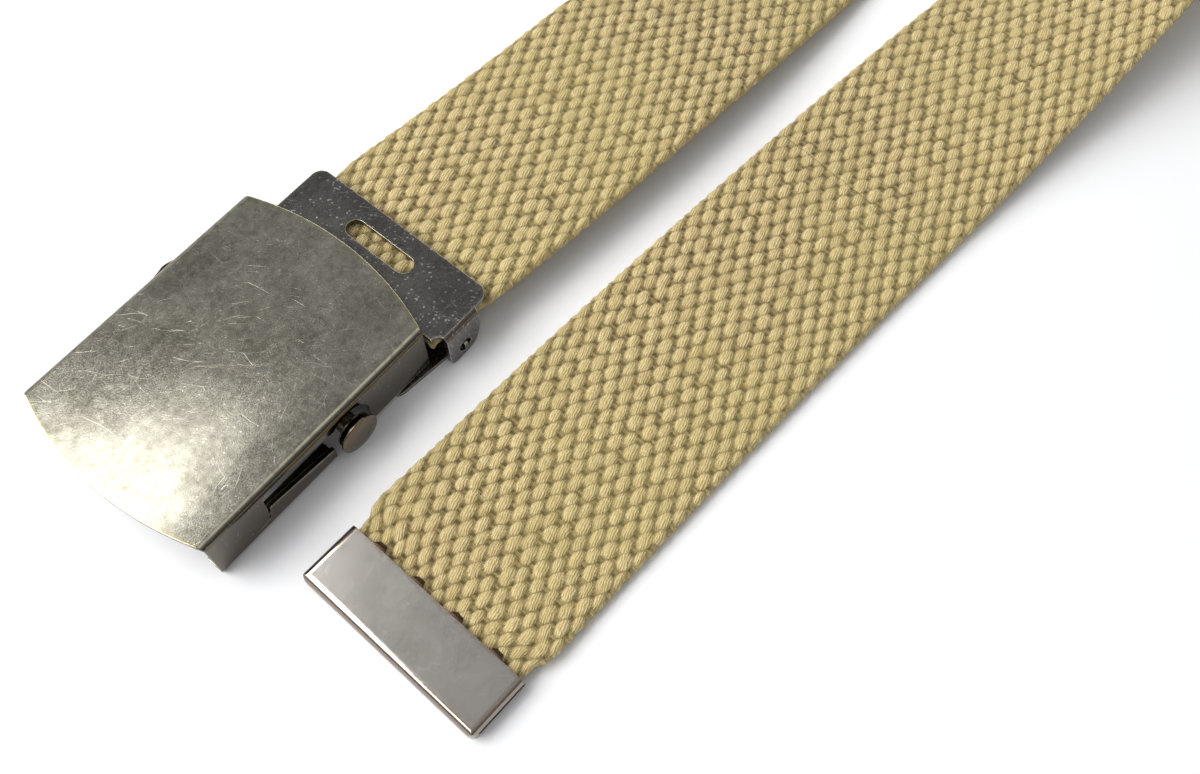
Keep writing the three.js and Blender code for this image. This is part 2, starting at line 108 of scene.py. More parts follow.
def plane(name, width, depth):
    """A flat rectangle about the origin."""
    mesh = bpy.data.meshes.new(name)
    w, d = width / 2, depth / 2
    mesh.from_pydata([(-w, -d, 0), (w, -d, 0), (w, d, 0), (-w, d, 0)], [], [(0, 1, 2, 3)])
    made = bpy.data.objects.new(name, mesh)
    bpy.context.scene.collection.objects.link(made)
    return made


def plain_finish(name, colour, roughness):
    """A plain painted surface for what isn't part of the belt."""
    finish = bpy.data.materials.new(name)
    finish.use_nodes = True
    shader = finish.node_tree.nodes["Principled BSDF"]
    shader.inputs["Base Color"].default_value = (*colour, 1)
    shader.inputs["Roughness"].default_value = roughness
    shader.inputs["Specular IOR Level"].default_value = 0.1
    return finish


floor = plane("floor", FLOOR_SIZE, FLOOR_SIZE)
floor.data.materials.append(plain_finish("white_board", (0.93, 0.93, 0.935), 0.9))
print("floor, m:", FLOOR_SIZE)

# %% [markdown]
# ## Lamps
#
# Metal shows its surroundings, so a lamp's place matters more than its strength. A small lamp would
# burn one hard glint into the plate, while the photo shows a broad glow that fades out. So the main
# lamp is a large level rectangle, and it stands where the bright corner of the face plate mirrors it.
# That place is found by turning the camera's ray about the plate's upright. Only the far right corner
# of the lamp shows in the plate, so both lamps are placed by that corner. A weaker lamp stands low on
# the far side and puts the thin bright line on the edges that face away.

# %% Lamps
LENS_FAR = Vector((-LENS_RIGHT.y, LENS_RIGHT.x, 0))


def seen(right, away, height):
    """A direction as the photo shows it: to the right, away along the table, and up."""
    return right * LENS_RIGHT + away * LENS_FAR + height * Vector((0, 0, 1))


def lamp(name, corner, size, turned, height, glow):
    """A level soft lamp over the buckle. Corner (far and right) and size are for each unit of height."""
    light = bpy.data.lights.new(name, "AREA")
    light.shape = "RECTANGLE"
    light.size, light.size_y = (side * height for side in size)
    light.energy = glow * math.pi * light.size * light.size_y
    made = bpy.data.objects.new(name, light)
    bpy.context.scene.collection.objects.link(made)
    right = seen(math.cos(turned), math.sin(turned), 0)
    away = seen(-math.sin(turned), math.cos(turned), 0)
    middle = seen(*corner, 1) - right * size[0] / 2 - away * size[1] / 2
    facing = Matrix((right, away, (0, 0, 1))).transposed().to_4x4()
    made.matrix_world = Matrix.Translation(TO_BELT @ LENS_AIM + middle * height) @ facing
    return made


key = lamp("soft_lamp", (-0.31, 0.358), (2.2, 1.7), math.radians(-20), 0.7, 5.2)
far = lamp("far_lamp", (1.1, 2.4), (1.6, 1.1), 0.0, 0.6, 2.3)
print("lamps, W:", [(each.name, round(each.data.energy, 2)) for each in (key, far)])

# %% [markdown]
# ## The room
#
# The room is a pale ceiling over darker walls. A photographed room could stand round the belt, but two
# tones with a soft change between them do the same here and need no picture. The plate mirrors the
# ceiling and looks grey. Its folded edges mirror the walls and look dark, and that dark band is what
# makes a fold read as metal.

# %% Room
ROOM = (0.80, 0.81, 0.83)
WALLS = 0.34
CEILING = 0.58

world = bpy.data.worlds.new("pale_room")
world.use_nodes = True
bpy.context.scene.world = world
room = world.node_tree
direction = room.nodes.new("ShaderNodeTexCoord")
parts = room.nodes.new("ShaderNodeSeparateXYZ")
rise = room.nodes.new("ShaderNodeMapRange")
rise.interpolation_type = "SMOOTHSTEP"
rise.inputs["From Min"].default_value = 0.35
rise.inputs["From Max"].default_value = 0.80
rise.inputs["To Min"].default_value = WALLS
rise.inputs["To Max"].default_value = CEILING
backdrop = room.nodes["Background"]
backdrop.inputs["Color"].default_value = (*ROOM, 1)
room.links.new(direction.outputs["Generated"], parts.inputs["Vector"])
room.links.new(parts.outputs["Z"], rise.inputs["Value"])
room.links.new(rise.outputs["Result"], backdrop.inputs["Strength"])
bpy.context.scene.view_settings.view_transform = "Standard"
print("room from", WALLS, "at the walls to", CEILING, "overhead")

# %% [markdown]
# ## How the webbing lies
#
# The strip leaves the clip skewed and runs on nearly flat. Towards the photo's edge its outer side
# slowly rises, and so does the other strand's, until the webbing stands on its edge and goes round in
# one loop, back to its cap. A free curve could be drawn for it, but a strip can't stretch, and a drawn
# curve has no fixed length. So its lie is a chain of arcs measured along its middle line. A function
# of the distance gives place, heading, roll and height.

# %% Sizes of the webbing and its lie, in mm
WEB_WIDTH = 31.6
WEB_THICK = 2.1
WEB_LENGTH = 1110.0
COVER_WIDTH = 34.0
WALL_END = 19.5
COVER_UNDER = 8.9
CLIP_SHEET = 0.8
CLIP_TOP = 7.6
GAP = 0.3
CAP_SHEET = 0.35
CAP_LENGTH = 9.2
CAP_WIDTH = WEB_WIDTH - 1.2
CAP_THICK = WEB_THICK + 1.0
CAP_SPARE, CAP_SLACK = 0.6, 0.25
CLIP_PINCH = 1.4
CAP_PINCH = WEB_WIDTH - CAP_WIDTH + 2 * (CAP_SHEET + CAP_SLACK)
CAP_PRESS = 0.2
CAP_TAILS = 4.0

STRAP_START = Vector((WALL_END + 0.6, -2.85))
STRAP_SKEW = math.radians(-7.9)
STRAP_SKEW_RUN = 12.0
STRAP_RUN_OUT = 140.0
STRAP_TURN = math.radians(11.1)
TIP_X = -14.3
TIP_SIDE = COVER_WIDTH / 2 + 8.5 + CAP_WIDTH / 2
TIP_HEADING = math.radians(-2.3)
TIP_TURN = math.radians(-6.4)
TWIST_START, TWIST_END = 90.0, 290.0
SINK_START, SINK_END = 50.0, 110.0
FLARE_RADIUS = 150.0
FLAT_ROUNDS, FLARE_ROUNDS = 6, 50
CAP_TAIL = 16.0
EAR_MIDDLE = 4.85
EAR_LENGTH = 6.2
EAR_END = EAR_MIDDLE + EAR_LENGTH / 2 - 0.6
print("webbing, mm:", WEB_WIDTH, "by", WEB_LENGTH, "and", WEB_THICK, "thick")

# %% Arcs


def ease(value, low, high):
    """Smooth step from 0 at low to 1 at high."""
    share = np.clip((value - low) / (high - low), 0, 1)
    return share * share * (3 - 2 * share)


def arc_points(start, arcs, along):
    """Places and headings at distances along a chain of arcs, each given as (length, turn)."""
    x, y, heading = start
    along = np.asarray(along, float)
    out = np.zeros((len(along), 3))
    begin = 0.0
    for number, (length, bend) in enumerate(arcs):
        last = number == len(arcs) - 1
        inside = (along >= begin) & ((along <= begin + length) | last)
        part = along[inside] - begin
        swing = bend * part / length / 2
        chord = part * np.sinc(swing / np.pi)
        out[inside, 0] = x + chord * np.cos(heading + swing)
        out[inside, 1] = y + chord * np.sin(heading + swing)
        out[inside, 2] = heading + 2 * swing
        chord = length * np.sinc(bend / 2 / np.pi)
        x += chord * math.cos(heading + bend / 2)
        y += chord * math.sin(heading + bend / 2)
        heading += bend
        begin += length
    return out


# %% Both strands and the loop between them
strap_start = (STRAP_START.x, STRAP_START.y, 0.0)
strap_arcs = [(STRAP_SKEW_RUN, STRAP_SKEW), (STRAP_RUN_OUT - STRAP_SKEW_RUN, STRAP_TURN)]
cap_inset = CAP_SHEET + CAP_SPARE
tip_start = (
    TIP_X + cap_inset * math.cos(TIP_HEADING),
    -TIP_SIDE + cap_inset * math.sin(TIP_HEADING),
    TIP_HEADING,
)


def tip_arcs(flat):
    """The free strand's arcs, from the webbing's end in the cap to where the loop opens."""
    return [(CAP_LENGTH, 0.0), (flat - CAP_LENGTH, TIP_TURN)]


strap_last = arc_points(strap_start, strap_arcs, [STRAP_RUN_OUT])[0]
tip_flat = STRAP_RUN_OUT
for _ in range(FLAT_ROUNDS):
    tip_last = arc_points(tip_start, tip_arcs(tip_flat), [tip_flat])[0]
    axis = (strap_last[2] + tip_last[2]) / 2
    step = tip_last[:2] - strap_last[:2]
    tip_flat -= step[0] * math.cos(axis) + step[1] * math.sin(axis)
tip_last = arc_points(tip_start, tip_arcs(tip_flat), [tip_flat])[0]

flare_from = (strap_last[2] - tip_last[2]) / 2
strand_half = math.hypot(*(strap_last[:2] - tip_last[:2])) / 2


def loop_for(flare):
    """Side length, radius and whole length of a loop that opens by this angle on both sides."""
    out = strand_half + FLARE_RADIUS * (math.cos(flare_from) - math.cos(flare))
    radius = out / math.cos(flare)
    side_length = FLARE_RADIUS * (flare - flare_from)
    return side_length, radius, 2 * side_length + radius * (math.pi + 2 * flare)


low_flare, high_flare = flare_from, math.radians(80)
for _ in range(FLARE_ROUNDS):
    flare = (low_flare + high_flare) / 2
    if loop_for(flare)[2] < WEB_LENGTH - STRAP_RUN_OUT - tip_flat:
        low_flare = flare
    else:
        high_flare = flare
flare = low_flare
flare_side, loop_radius, loop_length = loop_for(flare)
opening = flare - flare_from
TOTAL = STRAP_RUN_OUT + tip_flat + loop_length
round_arc = (loop_radius * (math.pi + 2 * flare), -math.pi - 2 * flare)
forward_arcs = [*strap_arcs, (flare_side, opening), round_arc]
backward_arcs = [*tip_arcs(tip_flat), (flare_side, -opening)]
FORWARD_END = STRAP_RUN_OUT + flare_side + round_arc[0]
print("free strand flat, mm:", round(tip_flat, 1), "loop radius, mm:", round(loop_radius, 1))
print("whole length, mm:", round(TOTAL, 2))


def lie_at(along):
    """Everything about the lie at distances along the webbing, as arrays."""
    along = np.asarray(along, float)
    from_tip = TOTAL - along
    line = arc_points(strap_start, forward_arcs, along)
    near_tip = along > FORWARD_END
    back = arc_points(tip_start, backward_arcs, from_tip[near_tip])
    back[:, 2] -= math.pi
    line[near_tip] = back
    roll = math.pi / 2 * ease(along, TWIST_START, TWIST_END)
    roll = roll * ease(from_tip, TWIST_START, TWIST_END)
    clip_lift = CLIP_TOP - CLIP_SHEET - GAP - WEB_THICK
    cap_lift = (CAP_THICK - WEB_THICK + CAP_PRESS) / 2
    lift = clip_lift * (1 - ease(along, SINK_START, SINK_END))
    lift = lift + cap_lift * (1 - ease(from_tip, CAP_LENGTH, CAP_LENGTH + CAP_TAIL))
    width = WEB_WIDTH - CLIP_PINCH * (1 - ease(along, EAR_END + GAP, EAR_END + EAR_LENGTH))
    width = width - CAP_PINCH * (1 - ease(from_tip, CAP_LENGTH, CAP_LENGTH + CAP_TAILS))
    pressed = 1 - ease(from_tip, CAP_LENGTH - GAP, CAP_LENGTH + CAP_TAILS)
    thick = WEB_THICK - CAP_PRESS * pressed
    height = width / 2 * np.sin(roll) + thick / 2 * np.cos(roll) + lift
    return line, roll, width, thick, height


# %% [markdown]
# ## The weave
#
# This web is a heavy plain weave. Bundles of four or five warp yarns run along the strip, go over one
# weft and under the next, and show as plump slanting knots. Neighbouring bundles take turns, so the
# knots are staggered like bricks and crowd each other until only a small dark pit is left where a
# bundle dives. Every second bundle is fuller than the next, and no two knots are quite alike.
#
# It could be a bump in a flat surface, but in the photo the knots shade each other and give the strip
# a rough outline. So the height is real: one formula of the place on the strip, taken at a fine grid.

# %% The height of the weave
ROWS = 26
ROW_PITCH = WEB_WIDTH / ROWS
REPEAT = 3.9  # from one knot to the next in the same bundle
KNOT_LENGTH = (3.3, 3.05)  # of the full and the slim bundles
KNOT_WIDTH = (2.12, 1.95)
KNOT_DROP = (0.0, 0.06)  # how far their tops lie below the highest
KNOT_SLANT = 0.30  # rows that a knot would lean over in one repeat
PIT_DEPTH = 0.70
WEFT_DEPTH = 0.48
WEFT_ROUND = 0.10


def scatter(a, b, seed):
    """A steady number from 0 to 1 for each pair of whole numbers."""
    value = np.sin(a * 12.9898 + b * 78.233 + seed * 37.719) * 43758.5453
    return value - np.floor(value)


def weave(s, w):
    """Height below the tops, in mm, with a shade and a warp share, s along and w across."""
    bow = 0.35 * np.sin(w * 0.2) + 0.12 * np.sin(s * 0.11 + w * 0.5)
    place = (w + WEB_WIDTH / 2) / ROW_PITCH
    near = np.floor(place)
    weft = np.cos(2 * np.pi * (s + bow) / (REPEAT / 4))
    height = -WEFT_DEPTH - WEFT_ROUND * weft
    tint = scatter(np.floor((s + bow) / (REPEAT / 2)), 0 * s, 5)
    warp = np.zeros_like(height)
    for shift in (0, -1, 1):
        row = near + shift
        odd = np.mod(row, 2)
        full = odd == 0
        phase = (s + bow + 0.6 * (scatter(row, 0 * row, 1) - 0.5)) / REPEAT + 0.5 * odd
        cell = np.floor(phase)
        first = scatter(row, cell, 2)
        second = scatter(row, cell, 3)
        third = scatter(row, cell, 4)
        half_long = np.where(full, *KNOT_LENGTH) / 2 / REPEAT * (0.9 + 0.2 * first)
        half_wide = np.where(full, *KNOT_WIDTH) / 2 / ROW_PITCH * (0.9 + 0.2 * second)
        q = phase - cell - 0.5 + 0.05 * (second - 0.5)
        t = place - row - 0.5 + 0.18 * (third - 0.5) - KNOT_SLANT * q
        foot = np.abs(q / half_long) ** 2.2 + np.abs(t / half_wide) ** 2.1
        top = -np.where(full, *KNOT_DROP) - 0.14 * first
        rise = np.clip(1 - foot, 0, 1) ** 0.55
        own = -PIT_DEPTH + (PIT_DEPTH + top) * rise
        inside = (foot < 1) & (row >= 0) & (row < ROWS) & (own > height)
        height = np.where(inside, own, height)
        tint = np.where(inside, first * 0.5 + second * 0.5, tint)
        warp = np.where(inside, 1.0, warp)
    return height, tint, warp


print("knots:", ROWS, "bundles, one each", REPEAT, "mm")

# %% [markdown]
# ## Building the strip
#
# Each stretch of webbing is a closed tube of rings: one ring is the cut through the strip, dense on
# its face, where the photo looks, and coarser beneath. The rounded woven edge is half an ellipse. Five
# stretches share the work, so that the strands near the buckle get a fine grid and the far loop a
# coarser one.

# %% One cut through the strip
EDGE_ROUND = 0.95
EDGE_STEPS = 5
EDGE_WAVE = 0.11
FLOOR_CLEAR = 0.01


def ring_places(per_row, per_row_below):
    """Across the strip: distance from its middle, tilt of the surface, and which face it is on."""
    flat_half = WEB_WIDTH / 2 - EDGE_ROUND
    tilts = np.linspace(0, np.pi / 2, EDGE_STEPS + 1)[1:]
    faces = []
    for face, count in ((1, per_row), (-1, per_row_below)):
        steps = int(round(2 * flat_half / ROW_PITCH * count))
        inner = np.linspace(-flat_half, flat_half, steps + 1)
        edge = flat_half + EDGE_ROUND * np.sin(tilts)
        w = np.concatenate([-edge[::-1], inner, edge])
        tilt = np.concatenate([-tilts[::-1], 0 * inner, tilts])
        faces.append((w, tilt, np.full(len(w), face)))
    top, below = faces
    below = [part[::-1][1:-1] for part in below]
    return [np.concatenate(pair) for pair in zip(top, below)]


print("points round the strip:", len(ring_places(6, 2)[0]))

# %% One stretch of webbing


def stretch(name, start, end, step, per_row, per_row_below):
    """A closed piece of webbing between two distances along it."""
    w, tilt, face = ring_places(per_row, per_row_below)
    count = max(2, int(round((end - start) / step)))
    along = np.linspace(start, end, count + 1)
    line, roll, width, thick, height = lie_at(along)
    s_grid, w_grid = np.meshgrid(along, w, indexing="ij")
    above_table = np.where(face > 0, 0.0, REPEAT / 2)
    deep, tint, warp = weave(s_grid + above_table, w_grid)
    level = np.cos(tilt)
    rim = -EDGE_WAVE * (1 - np.cos(2 * np.pi * s_grid / (REPEAT / 2) + 2 * np.sin(s_grid * 0.37)))
    lower = level * deep + (1 - level) * rim
    narrow = (width / WEB_WIDTH)[:, None]
    p = w_grid * narrow + lower * np.sin(tilt)
    q = face * level * thick[:, None] / 2 + lower * face * level
    left = np.stack([-np.sin(line[:, 2]), np.cos(line[:, 2]), 0 * along], 1)
    up = np.array([0, 0, 1.0])
    across = left * np.cos(roll)[:, None] + up * np.sin(roll)[:, None]
    outward = up * np.cos(roll)[:, None] - left * np.sin(roll)[:, None]
    middle = np.stack([line[:, 0], line[:, 1], height], 1)
    points = middle[:, None] + across[:, None] * p[:, :, None] + outward[:, None] * q[:, :, None]
    points[:, :, 2] = np.maximum(points[:, :, 2], FLOOR_CLEAR)
    rings, ring = s_grid.shape
    here = np.arange(ring)
    after = (here + 1) % ring
    base = (np.arange(rings - 1) * ring)[:, None]
    quads = np.stack([base + here, base + after, base + ring + after, base + ring + here], -1)
    quads = quads.reshape(-1, 4)[:, ::-1]
    mesh = bpy.data.meshes.new(name)
    caps = [list(here), list((rings - 1) * ring + here[::-1])]
    mesh.from_pydata(points.reshape(-1, 3).tolist(), [], quads.tolist() + caps)
    lay = np.stack([s_grid, w_grid, np.broadcast_to(face, s_grid.shape)], -1)
    for key_name, kind, values in (
        ("lay", "FLOAT_VECTOR", lay.reshape(-1)),
        ("depth", "FLOAT", (-lower / PIT_DEPTH).reshape(-1)),
        ("tint", "FLOAT", tint.reshape(-1)),
        ("warp", "FLOAT", warp.reshape(-1)),
    ):
        layer = mesh.attributes.new(key_name, kind, "POINT")
        field = "vector" if kind == "FLOAT_VECTOR" else "value"
        layer.data.foreach_set(field, values.astype(np.float32))
    mesh.transform(TO_BELT)
    mesh.polygons.foreach_set("use_smooth", [True] * len(mesh.polygons))
    made = bpy.data.objects.new(name, mesh)
    bpy.context.scene.collection.objects.link(made)
    print(name, "length, mm:", round(end - start, 1), "faces:", len(mesh.polygons))
    return made


# %% Five stretches
STRAP_SEEN = 146.0
TIP_SEEN = 186.0
FINE_STEP, COARSE_STEP = 0.36, 0.78
loop_start, loop_end = STRAP_SEEN, TOTAL - TIP_SEEN
loop_middle = (loop_start + loop_end) / 2
tip_middle = TOTAL - TIP_SEEN / 2
stretches = [
    ("web_at_clip", 0.0, STRAP_SEEN, FINE_STEP, 6, 2),
    ("web_loop_near", loop_start, loop_middle, COARSE_STEP, 2.5, 2),
    ("web_loop_far", loop_middle, loop_end, COARSE_STEP, 2.5, 2),
    ("web_free_strand", loop_end, tip_middle, FINE_STEP, 6, 2),
    ("web_free_end", tip_middle, TOTAL, FINE_STEP, 6, 2),
]
web_pieces = []
for name, start, end, step, rows_above, rows_below in stretches:
    piece = stretch(name, start, end, step, rows_above, rows_below)
    web_pieces.append(piece)

# %% [markdown]
# ## Finishes from nodes
#
# Every finish below is a small tree of nodes on the piece's own coordinates, in millimetres. Three
# helpers keep the trees readable: one adds a node and sets its inputs, one gives coordinates in
# millimetres, and one maps a value onto a range.

# %% Helpers for finishes


def add(tree, kind, inputs=None, **settings):
    """A new node with its settings and inputs. An input that is a socket is linked."""
    made = tree.nodes.new(kind)
    for key_name, value in settings.items():
        setattr(made, key_name, value)
    for key_name, value in (inputs or {}).items():
        if isinstance(value, bpy.types.NodeSocket):
            tree.links.new(value, made.inputs[key_name])
        else:
            made.inputs[key_name].default_value = value
    return made


def finish(name):
    """An empty finish with its principled shader."""
    made = bpy.data.materials.new(name)
    made.use_nodes = True
    return made, made.node_tree, made.node_tree.nodes["Principled BSDF"]


def in_mm(tree, turned=0.0, stretch_by=(1, 1, 1), shift=(0, 0, 0)):
    """The piece's own coordinates in mm, turned about Z and stretched."""
    where = add(tree, "ShaderNodeTexCoord")
    flat = add(
        tree,
        "ShaderNodeMapping",
        {"Vector": where.outputs["Object"], "Rotation": (0, 0, turned), "Location": shift},
        vector_type="TEXTURE",
    )
    wide = add(
        tree,
        "ShaderNodeVectorMath",
        {0: flat.outputs["Vector"], 1: tuple(part / MM for part in stretch_by)},
        operation="MULTIPLY",
    )
    return wide.outputs["Vector"]


def noise(tree, vector, scale, detail=3.0, roughness=0.5, distortion=0.0):
    """Cloudy values about 0.5."""
    made = add(
        tree,
        "ShaderNodeTexNoise",
        {
            "Vector": vector,
            "Scale": scale,
            "Detail": detail,
            "Roughness": roughness,
            "Distortion": distortion,
        },
    )
    return made.outputs["Fac"]


def ramp(tree, value, low, high, to_low=0.0, to_high=1.0):
    """Brings a value from low..high to another range, and holds it there."""
    made = add(
        tree,
        "ShaderNodeMapRange",
        {"Value": value, "From Min": low, "From Max": high, "To Min": to_low, "To Max": to_high},
    )
    return made.outputs["Result"]


def math_of(tree, how, first, second=0.0):
    """One sum of two values."""
    made = add(tree, "ShaderNodeMath", {0: first, 1: second}, operation=how)
    return made.outputs["Value"]


def blend_colours(tree, share, first, second, how="MIX"):
    """Two colours mixed by a share from 0 to 1."""
    made = add(tree, "ShaderNodeMix", {0: share}, data_type="RGBA", blend_type=how)
    for socket, value in ((made.inputs[6], first), (made.inputs[7], second)):
        if isinstance(value, bpy.types.NodeSocket):
            tree.links.new(value, socket)
        else:
            socket.default_value = (*value, 1)
    return made.outputs[2]


# %% [markdown]
# ## Cotton
#
# Undyed-looking khaki cotton isn't one colour. Each knot has its own shade, and a slow drift to green or
# gold runs along the strip. Light and shade are painted in too: dark brown painted shade in the pits and
# the grooves between yarns, and pale painted highlights where single yarns would catch the light. The
# yarns are too fine to model, so they are waves in the colour and the bump, slanted on the knots and
# straight across on the weft, and each knot starts its waves at a place of its own.

# %% Yarns
YARN_PITCH = 0.34
YARN_SLANT = math.radians(21)
# Painted light: the pit colour is painted shade for the pits, the shade colour also paints shade low on
# the knots and in the grooves, and the top colour is a painted highlight on the yarns.
COTTON_PAINTED_PIT_SHADE = (0.055, 0.033, 0.008)
COTTON_DARK_AND_PAINTED_SHADE = (0.31, 0.222, 0.08)
COTTON_BODY = (0.62, 0.485, 0.225)
COTTON_PAINTED_HIGHLIGHT = (0.93, 0.81, 0.52)
COTTON_GOLD = (0.50, 0.43, 0.15)


def yarn_lines(tree, lay, tint, angle, pitch):
    """Parallel yarns with loose strands between them, from 0 in a groove to 1 on top."""
    turned = add(
        tree,
        "ShaderNodeMapping",
        {"Vector": lay, "Rotation": (0, 0, -angle)},
        vector_type="POINT",
    ).outputs["Vector"]
    parts = add(tree, "ShaderNodeSeparateXYZ", {"Vector": turned}).outputs
    waver = noise(tree, turned, 0.8, 2.0)
    turns = math_of(tree, "MULTIPLY", parts["Y"], 2 * math.pi / pitch)
    turns = math_of(tree, "ADD", turns, math_of(tree, "MULTIPLY", waver, 11.0))
    turns = math_of(tree, "ADD", turns, math_of(tree, "MULTIPLY", tint, 17.0))
    yarns = ramp(tree, math_of(tree, "SINE", turns), -1.0, 1.0, 0.0, 0.5)
    own = math_of(tree, "MULTIPLY", tint, 40.0)
    drawn_out = math_of(tree, "MULTIPLY", parts["X"], 0.3)
    place = add(tree, "ShaderNodeCombineXYZ", {"X": drawn_out, "Y": parts["Y"], "Z": own})
    strands = ramp(tree, noise(tree, place.outputs["Vector"], 3.6, 2.0, 0.6), 0.34, 0.66, 0.0, 0.5)
    return math_of(tree, "ADD", yarns, strands)


# %% Dress the strip in cotton


def cotton_finish():
    """Khaki cotton with its yarns and fibres, painted shade in its pits and grooves, and painted
    highlights on its yarns.
    """
    made, tree, shader = finish("khaki_cotton")
    lay = add(tree, "ShaderNodeAttribute", attribute_name="lay").outputs["Vector"]
    depth = add(tree, "ShaderNodeAttribute", attribute_name="depth").outputs["Fac"]
    tint = add(tree, "ShaderNodeAttribute", attribute_name="tint").outputs["Fac"]
    warp = add(tree, "ShaderNodeAttribute", attribute_name="warp").outputs["Fac"]

    along = yarn_lines(tree, lay, tint, YARN_SLANT, YARN_PITCH)
    across = yarn_lines(tree, lay, tint, math.pi / 2, YARN_PITCH)
    yarn = add(tree, "ShaderNodeMix", {0: warp, 2: across, 3: along}, data_type="FLOAT").outputs[0]
    fuzz = noise(tree, lay, 4.5, 3.0, 0.7)
    drift = noise(tree, lay, 0.035, 2.0, 0.5)
    fibre = math_of(tree, "MULTIPLY", yarn, ramp(tree, fuzz, 0.3, 0.65, 0.35, 1.0))

    # Painted shade: the colour darkens with depth on the knots, and most in the pits.
    high = ramp(tree, depth, 0.95, 0.10)
    body = blend_colours(tree, ramp(tree, high, 0.25, 0.80), COTTON_DARK_AND_PAINTED_SHADE, COTTON_BODY)
    # Painted highlight: yarn tops that would catch the light are paled in the colour.
    lit = math_of(tree, "MULTIPLY", ramp(tree, fibre, 0.35, 0.85), ramp(tree, high, 0.3, 0.8))
    tops = blend_colours(tree, math_of(tree, "MULTIPLY", lit, 0.85), body, COTTON_PAINTED_HIGHLIGHT)
    # Painted shade in the grooves between yarns.
    painted_groove_shade = ramp(tree, fibre, 0.34, 0.0, 0.0, 0.65)
    lined = blend_colours(tree, painted_groove_shade, tops, COTTON_DARK_AND_PAINTED_SHADE)
    deep = blend_colours(tree, ramp(tree, high, 0.10, 0.55), COTTON_PAINTED_PIT_SHADE, lined)
    shade = blend_colours(tree, ramp(tree, tint, 0.0, 1.0, 0.0, 0.28), deep, COTTON_DARK_AND_PAINTED_SHADE)
    warm = blend_colours(tree, ramp(tree, drift, 0.35, 0.65, 0.0, 0.22), shade, COTTON_GOLD)
    tree.links.new(warm, shader.inputs["Base Color"])
    shader.inputs["Roughness"].default_value = 0.9
    shader.inputs["Specular IOR Level"].default_value = 0.2
    shader.inputs["Sheen Weight"].default_value = 0.15
    shader.inputs["Sheen Roughness"].default_value = 0.5

    height = math_of(tree, "ADD", yarn, math_of(tree, "MULTIPLY", fuzz, 0.8))
    bump = add(tree, "ShaderNodeBump", {"Height": height, "Strength": 1.0, "Distance": 0.10 * MM})
    tree.links.new(bump.outputs["Normal"], shader.inputs["Normal"])
    return made


cotton = cotton_finish()
for piece in web_pieces:
    piece.data.materials.append(cotton)
    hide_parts("webbing")
    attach(piece, "belt")
print("cotton on:", [piece.name for piece in web_pieces])

# %% [markdown]
# ## Marks on metal
#
# The metal is sheet with an antique nickel plate: darkened, then brushed back. Close up it has a fine
# grain, pale flecks where the dark layer is knocked off, hairlines a few millimetres long, and edges
# rubbed down to a warm gold. Each mark is a helper that gives a share from 0 to 1.
#
# Flecks are the middles of scattered cells, of which only some are kept. Hairlines are the borders of
# long cells, wobbled and broken up. Worn edges come from comparing the surface's direction with a
# rounded copy of it: the two differ only near an edge.

# %% Flecks


def product(tree, *values):
    """Several values multiplied together."""
    whole = values[0]
    for value in values[1:]:
        whole = math_of(tree, "MULTIPLY", whole, value)
    return whole


def flecks(tree, where, pitch, radius, share):
    """Small spots, at most one in each cell of this pitch."""
    cells = add(tree, "ShaderNodeTexVoronoi", {"Vector": where, "Scale": 1 / pitch}, feature="F1")
    chance = add(tree, "ShaderNodeSeparateColor", {"Color": cells.outputs["Color"]})
    near = ramp(tree, cells.outputs["Distance"], radius / pitch, 0.4 * radius / pitch)
    return product(tree, near, ramp(tree, chance.outputs["Red"], 1 - share, 1 - share + 0.02))


# %% Hairlines


def hairlines(tree, turned, long, wide, thin, seed):
    """Broken curved hairlines that run mostly one way."""
    flat = in_mm(tree, turned, (1, 1, 1), (seed * MM, seed * 1.7 * MM, 0))
    sway = add(tree, "ShaderNodeTexNoise", {"Vector": flat, "Scale": 0.12, "Detail": 1.0})
    swayed = add(
        tree,
        "ShaderNodeVectorMath",
        {0: sway.outputs["Color"], 1: (5.0, 5.0, 0.0), 2: flat},
        operation="MULTIPLY_ADD",
    ).outputs["Vector"]
    cells = add(
        tree,
        "ShaderNodeVectorMath",
        {0: swayed, 1: (1 / long, 1 / wide, 0.0)},
        operation="MULTIPLY",
    ).outputs["Vector"]
    lines = add(
        tree,
        "ShaderNodeTexVoronoi",
        {"Vector": cells, "Scale": 1.0},
        feature="DISTANCE_TO_EDGE",
        voronoi_dimensions="2D",
    ).outputs["Distance"]
    line = ramp(tree, lines, thin / wide, 0.3 * thin / wide)
    gaps = noise(tree, flat, 0.35, 2.0)
    return product(tree, line, ramp(tree, gaps, 0.48, 0.66))


# %% Worn edges


def near_edges(tree, reach, first, full):
    """Where the surface turns within this reach of a point, in mm."""
    rounded_copy = add(tree, "ShaderNodeBevel", {"Radius": reach * MM}, samples=8)
    surface = add(tree, "ShaderNodeNewGeometry")
    alike = add(
        tree,
        "ShaderNodeVectorMath",
        {0: rounded_copy.outputs["Normal"], 1: surface.outputs["Normal"]},
        operation="DOT_PRODUCT",
    ).outputs["Value"]
    return ramp(tree, alike, first, full)


# %% [markdown]
# ## The metal finish
#
# Each metal could have a tree of its own. One function for all of them keeps the marks at the same
# real size, as they are on one buckle. It lays them over each other in the order in which they happen:
# tarnish, grain, rubbed edges, flecks, hairlines. Before the rubbed edges it also paints light into the
# colour where the surface turns to the side: painted shade where that colour is darker, a painted
# reflection where it is lighter. Each metal gets its own colours and amounts.
#
# The fold between the face and its walls is too round to count as an edge. There the rub is found by
# the surface's own tilt, which is what rubs on trousers and hands.

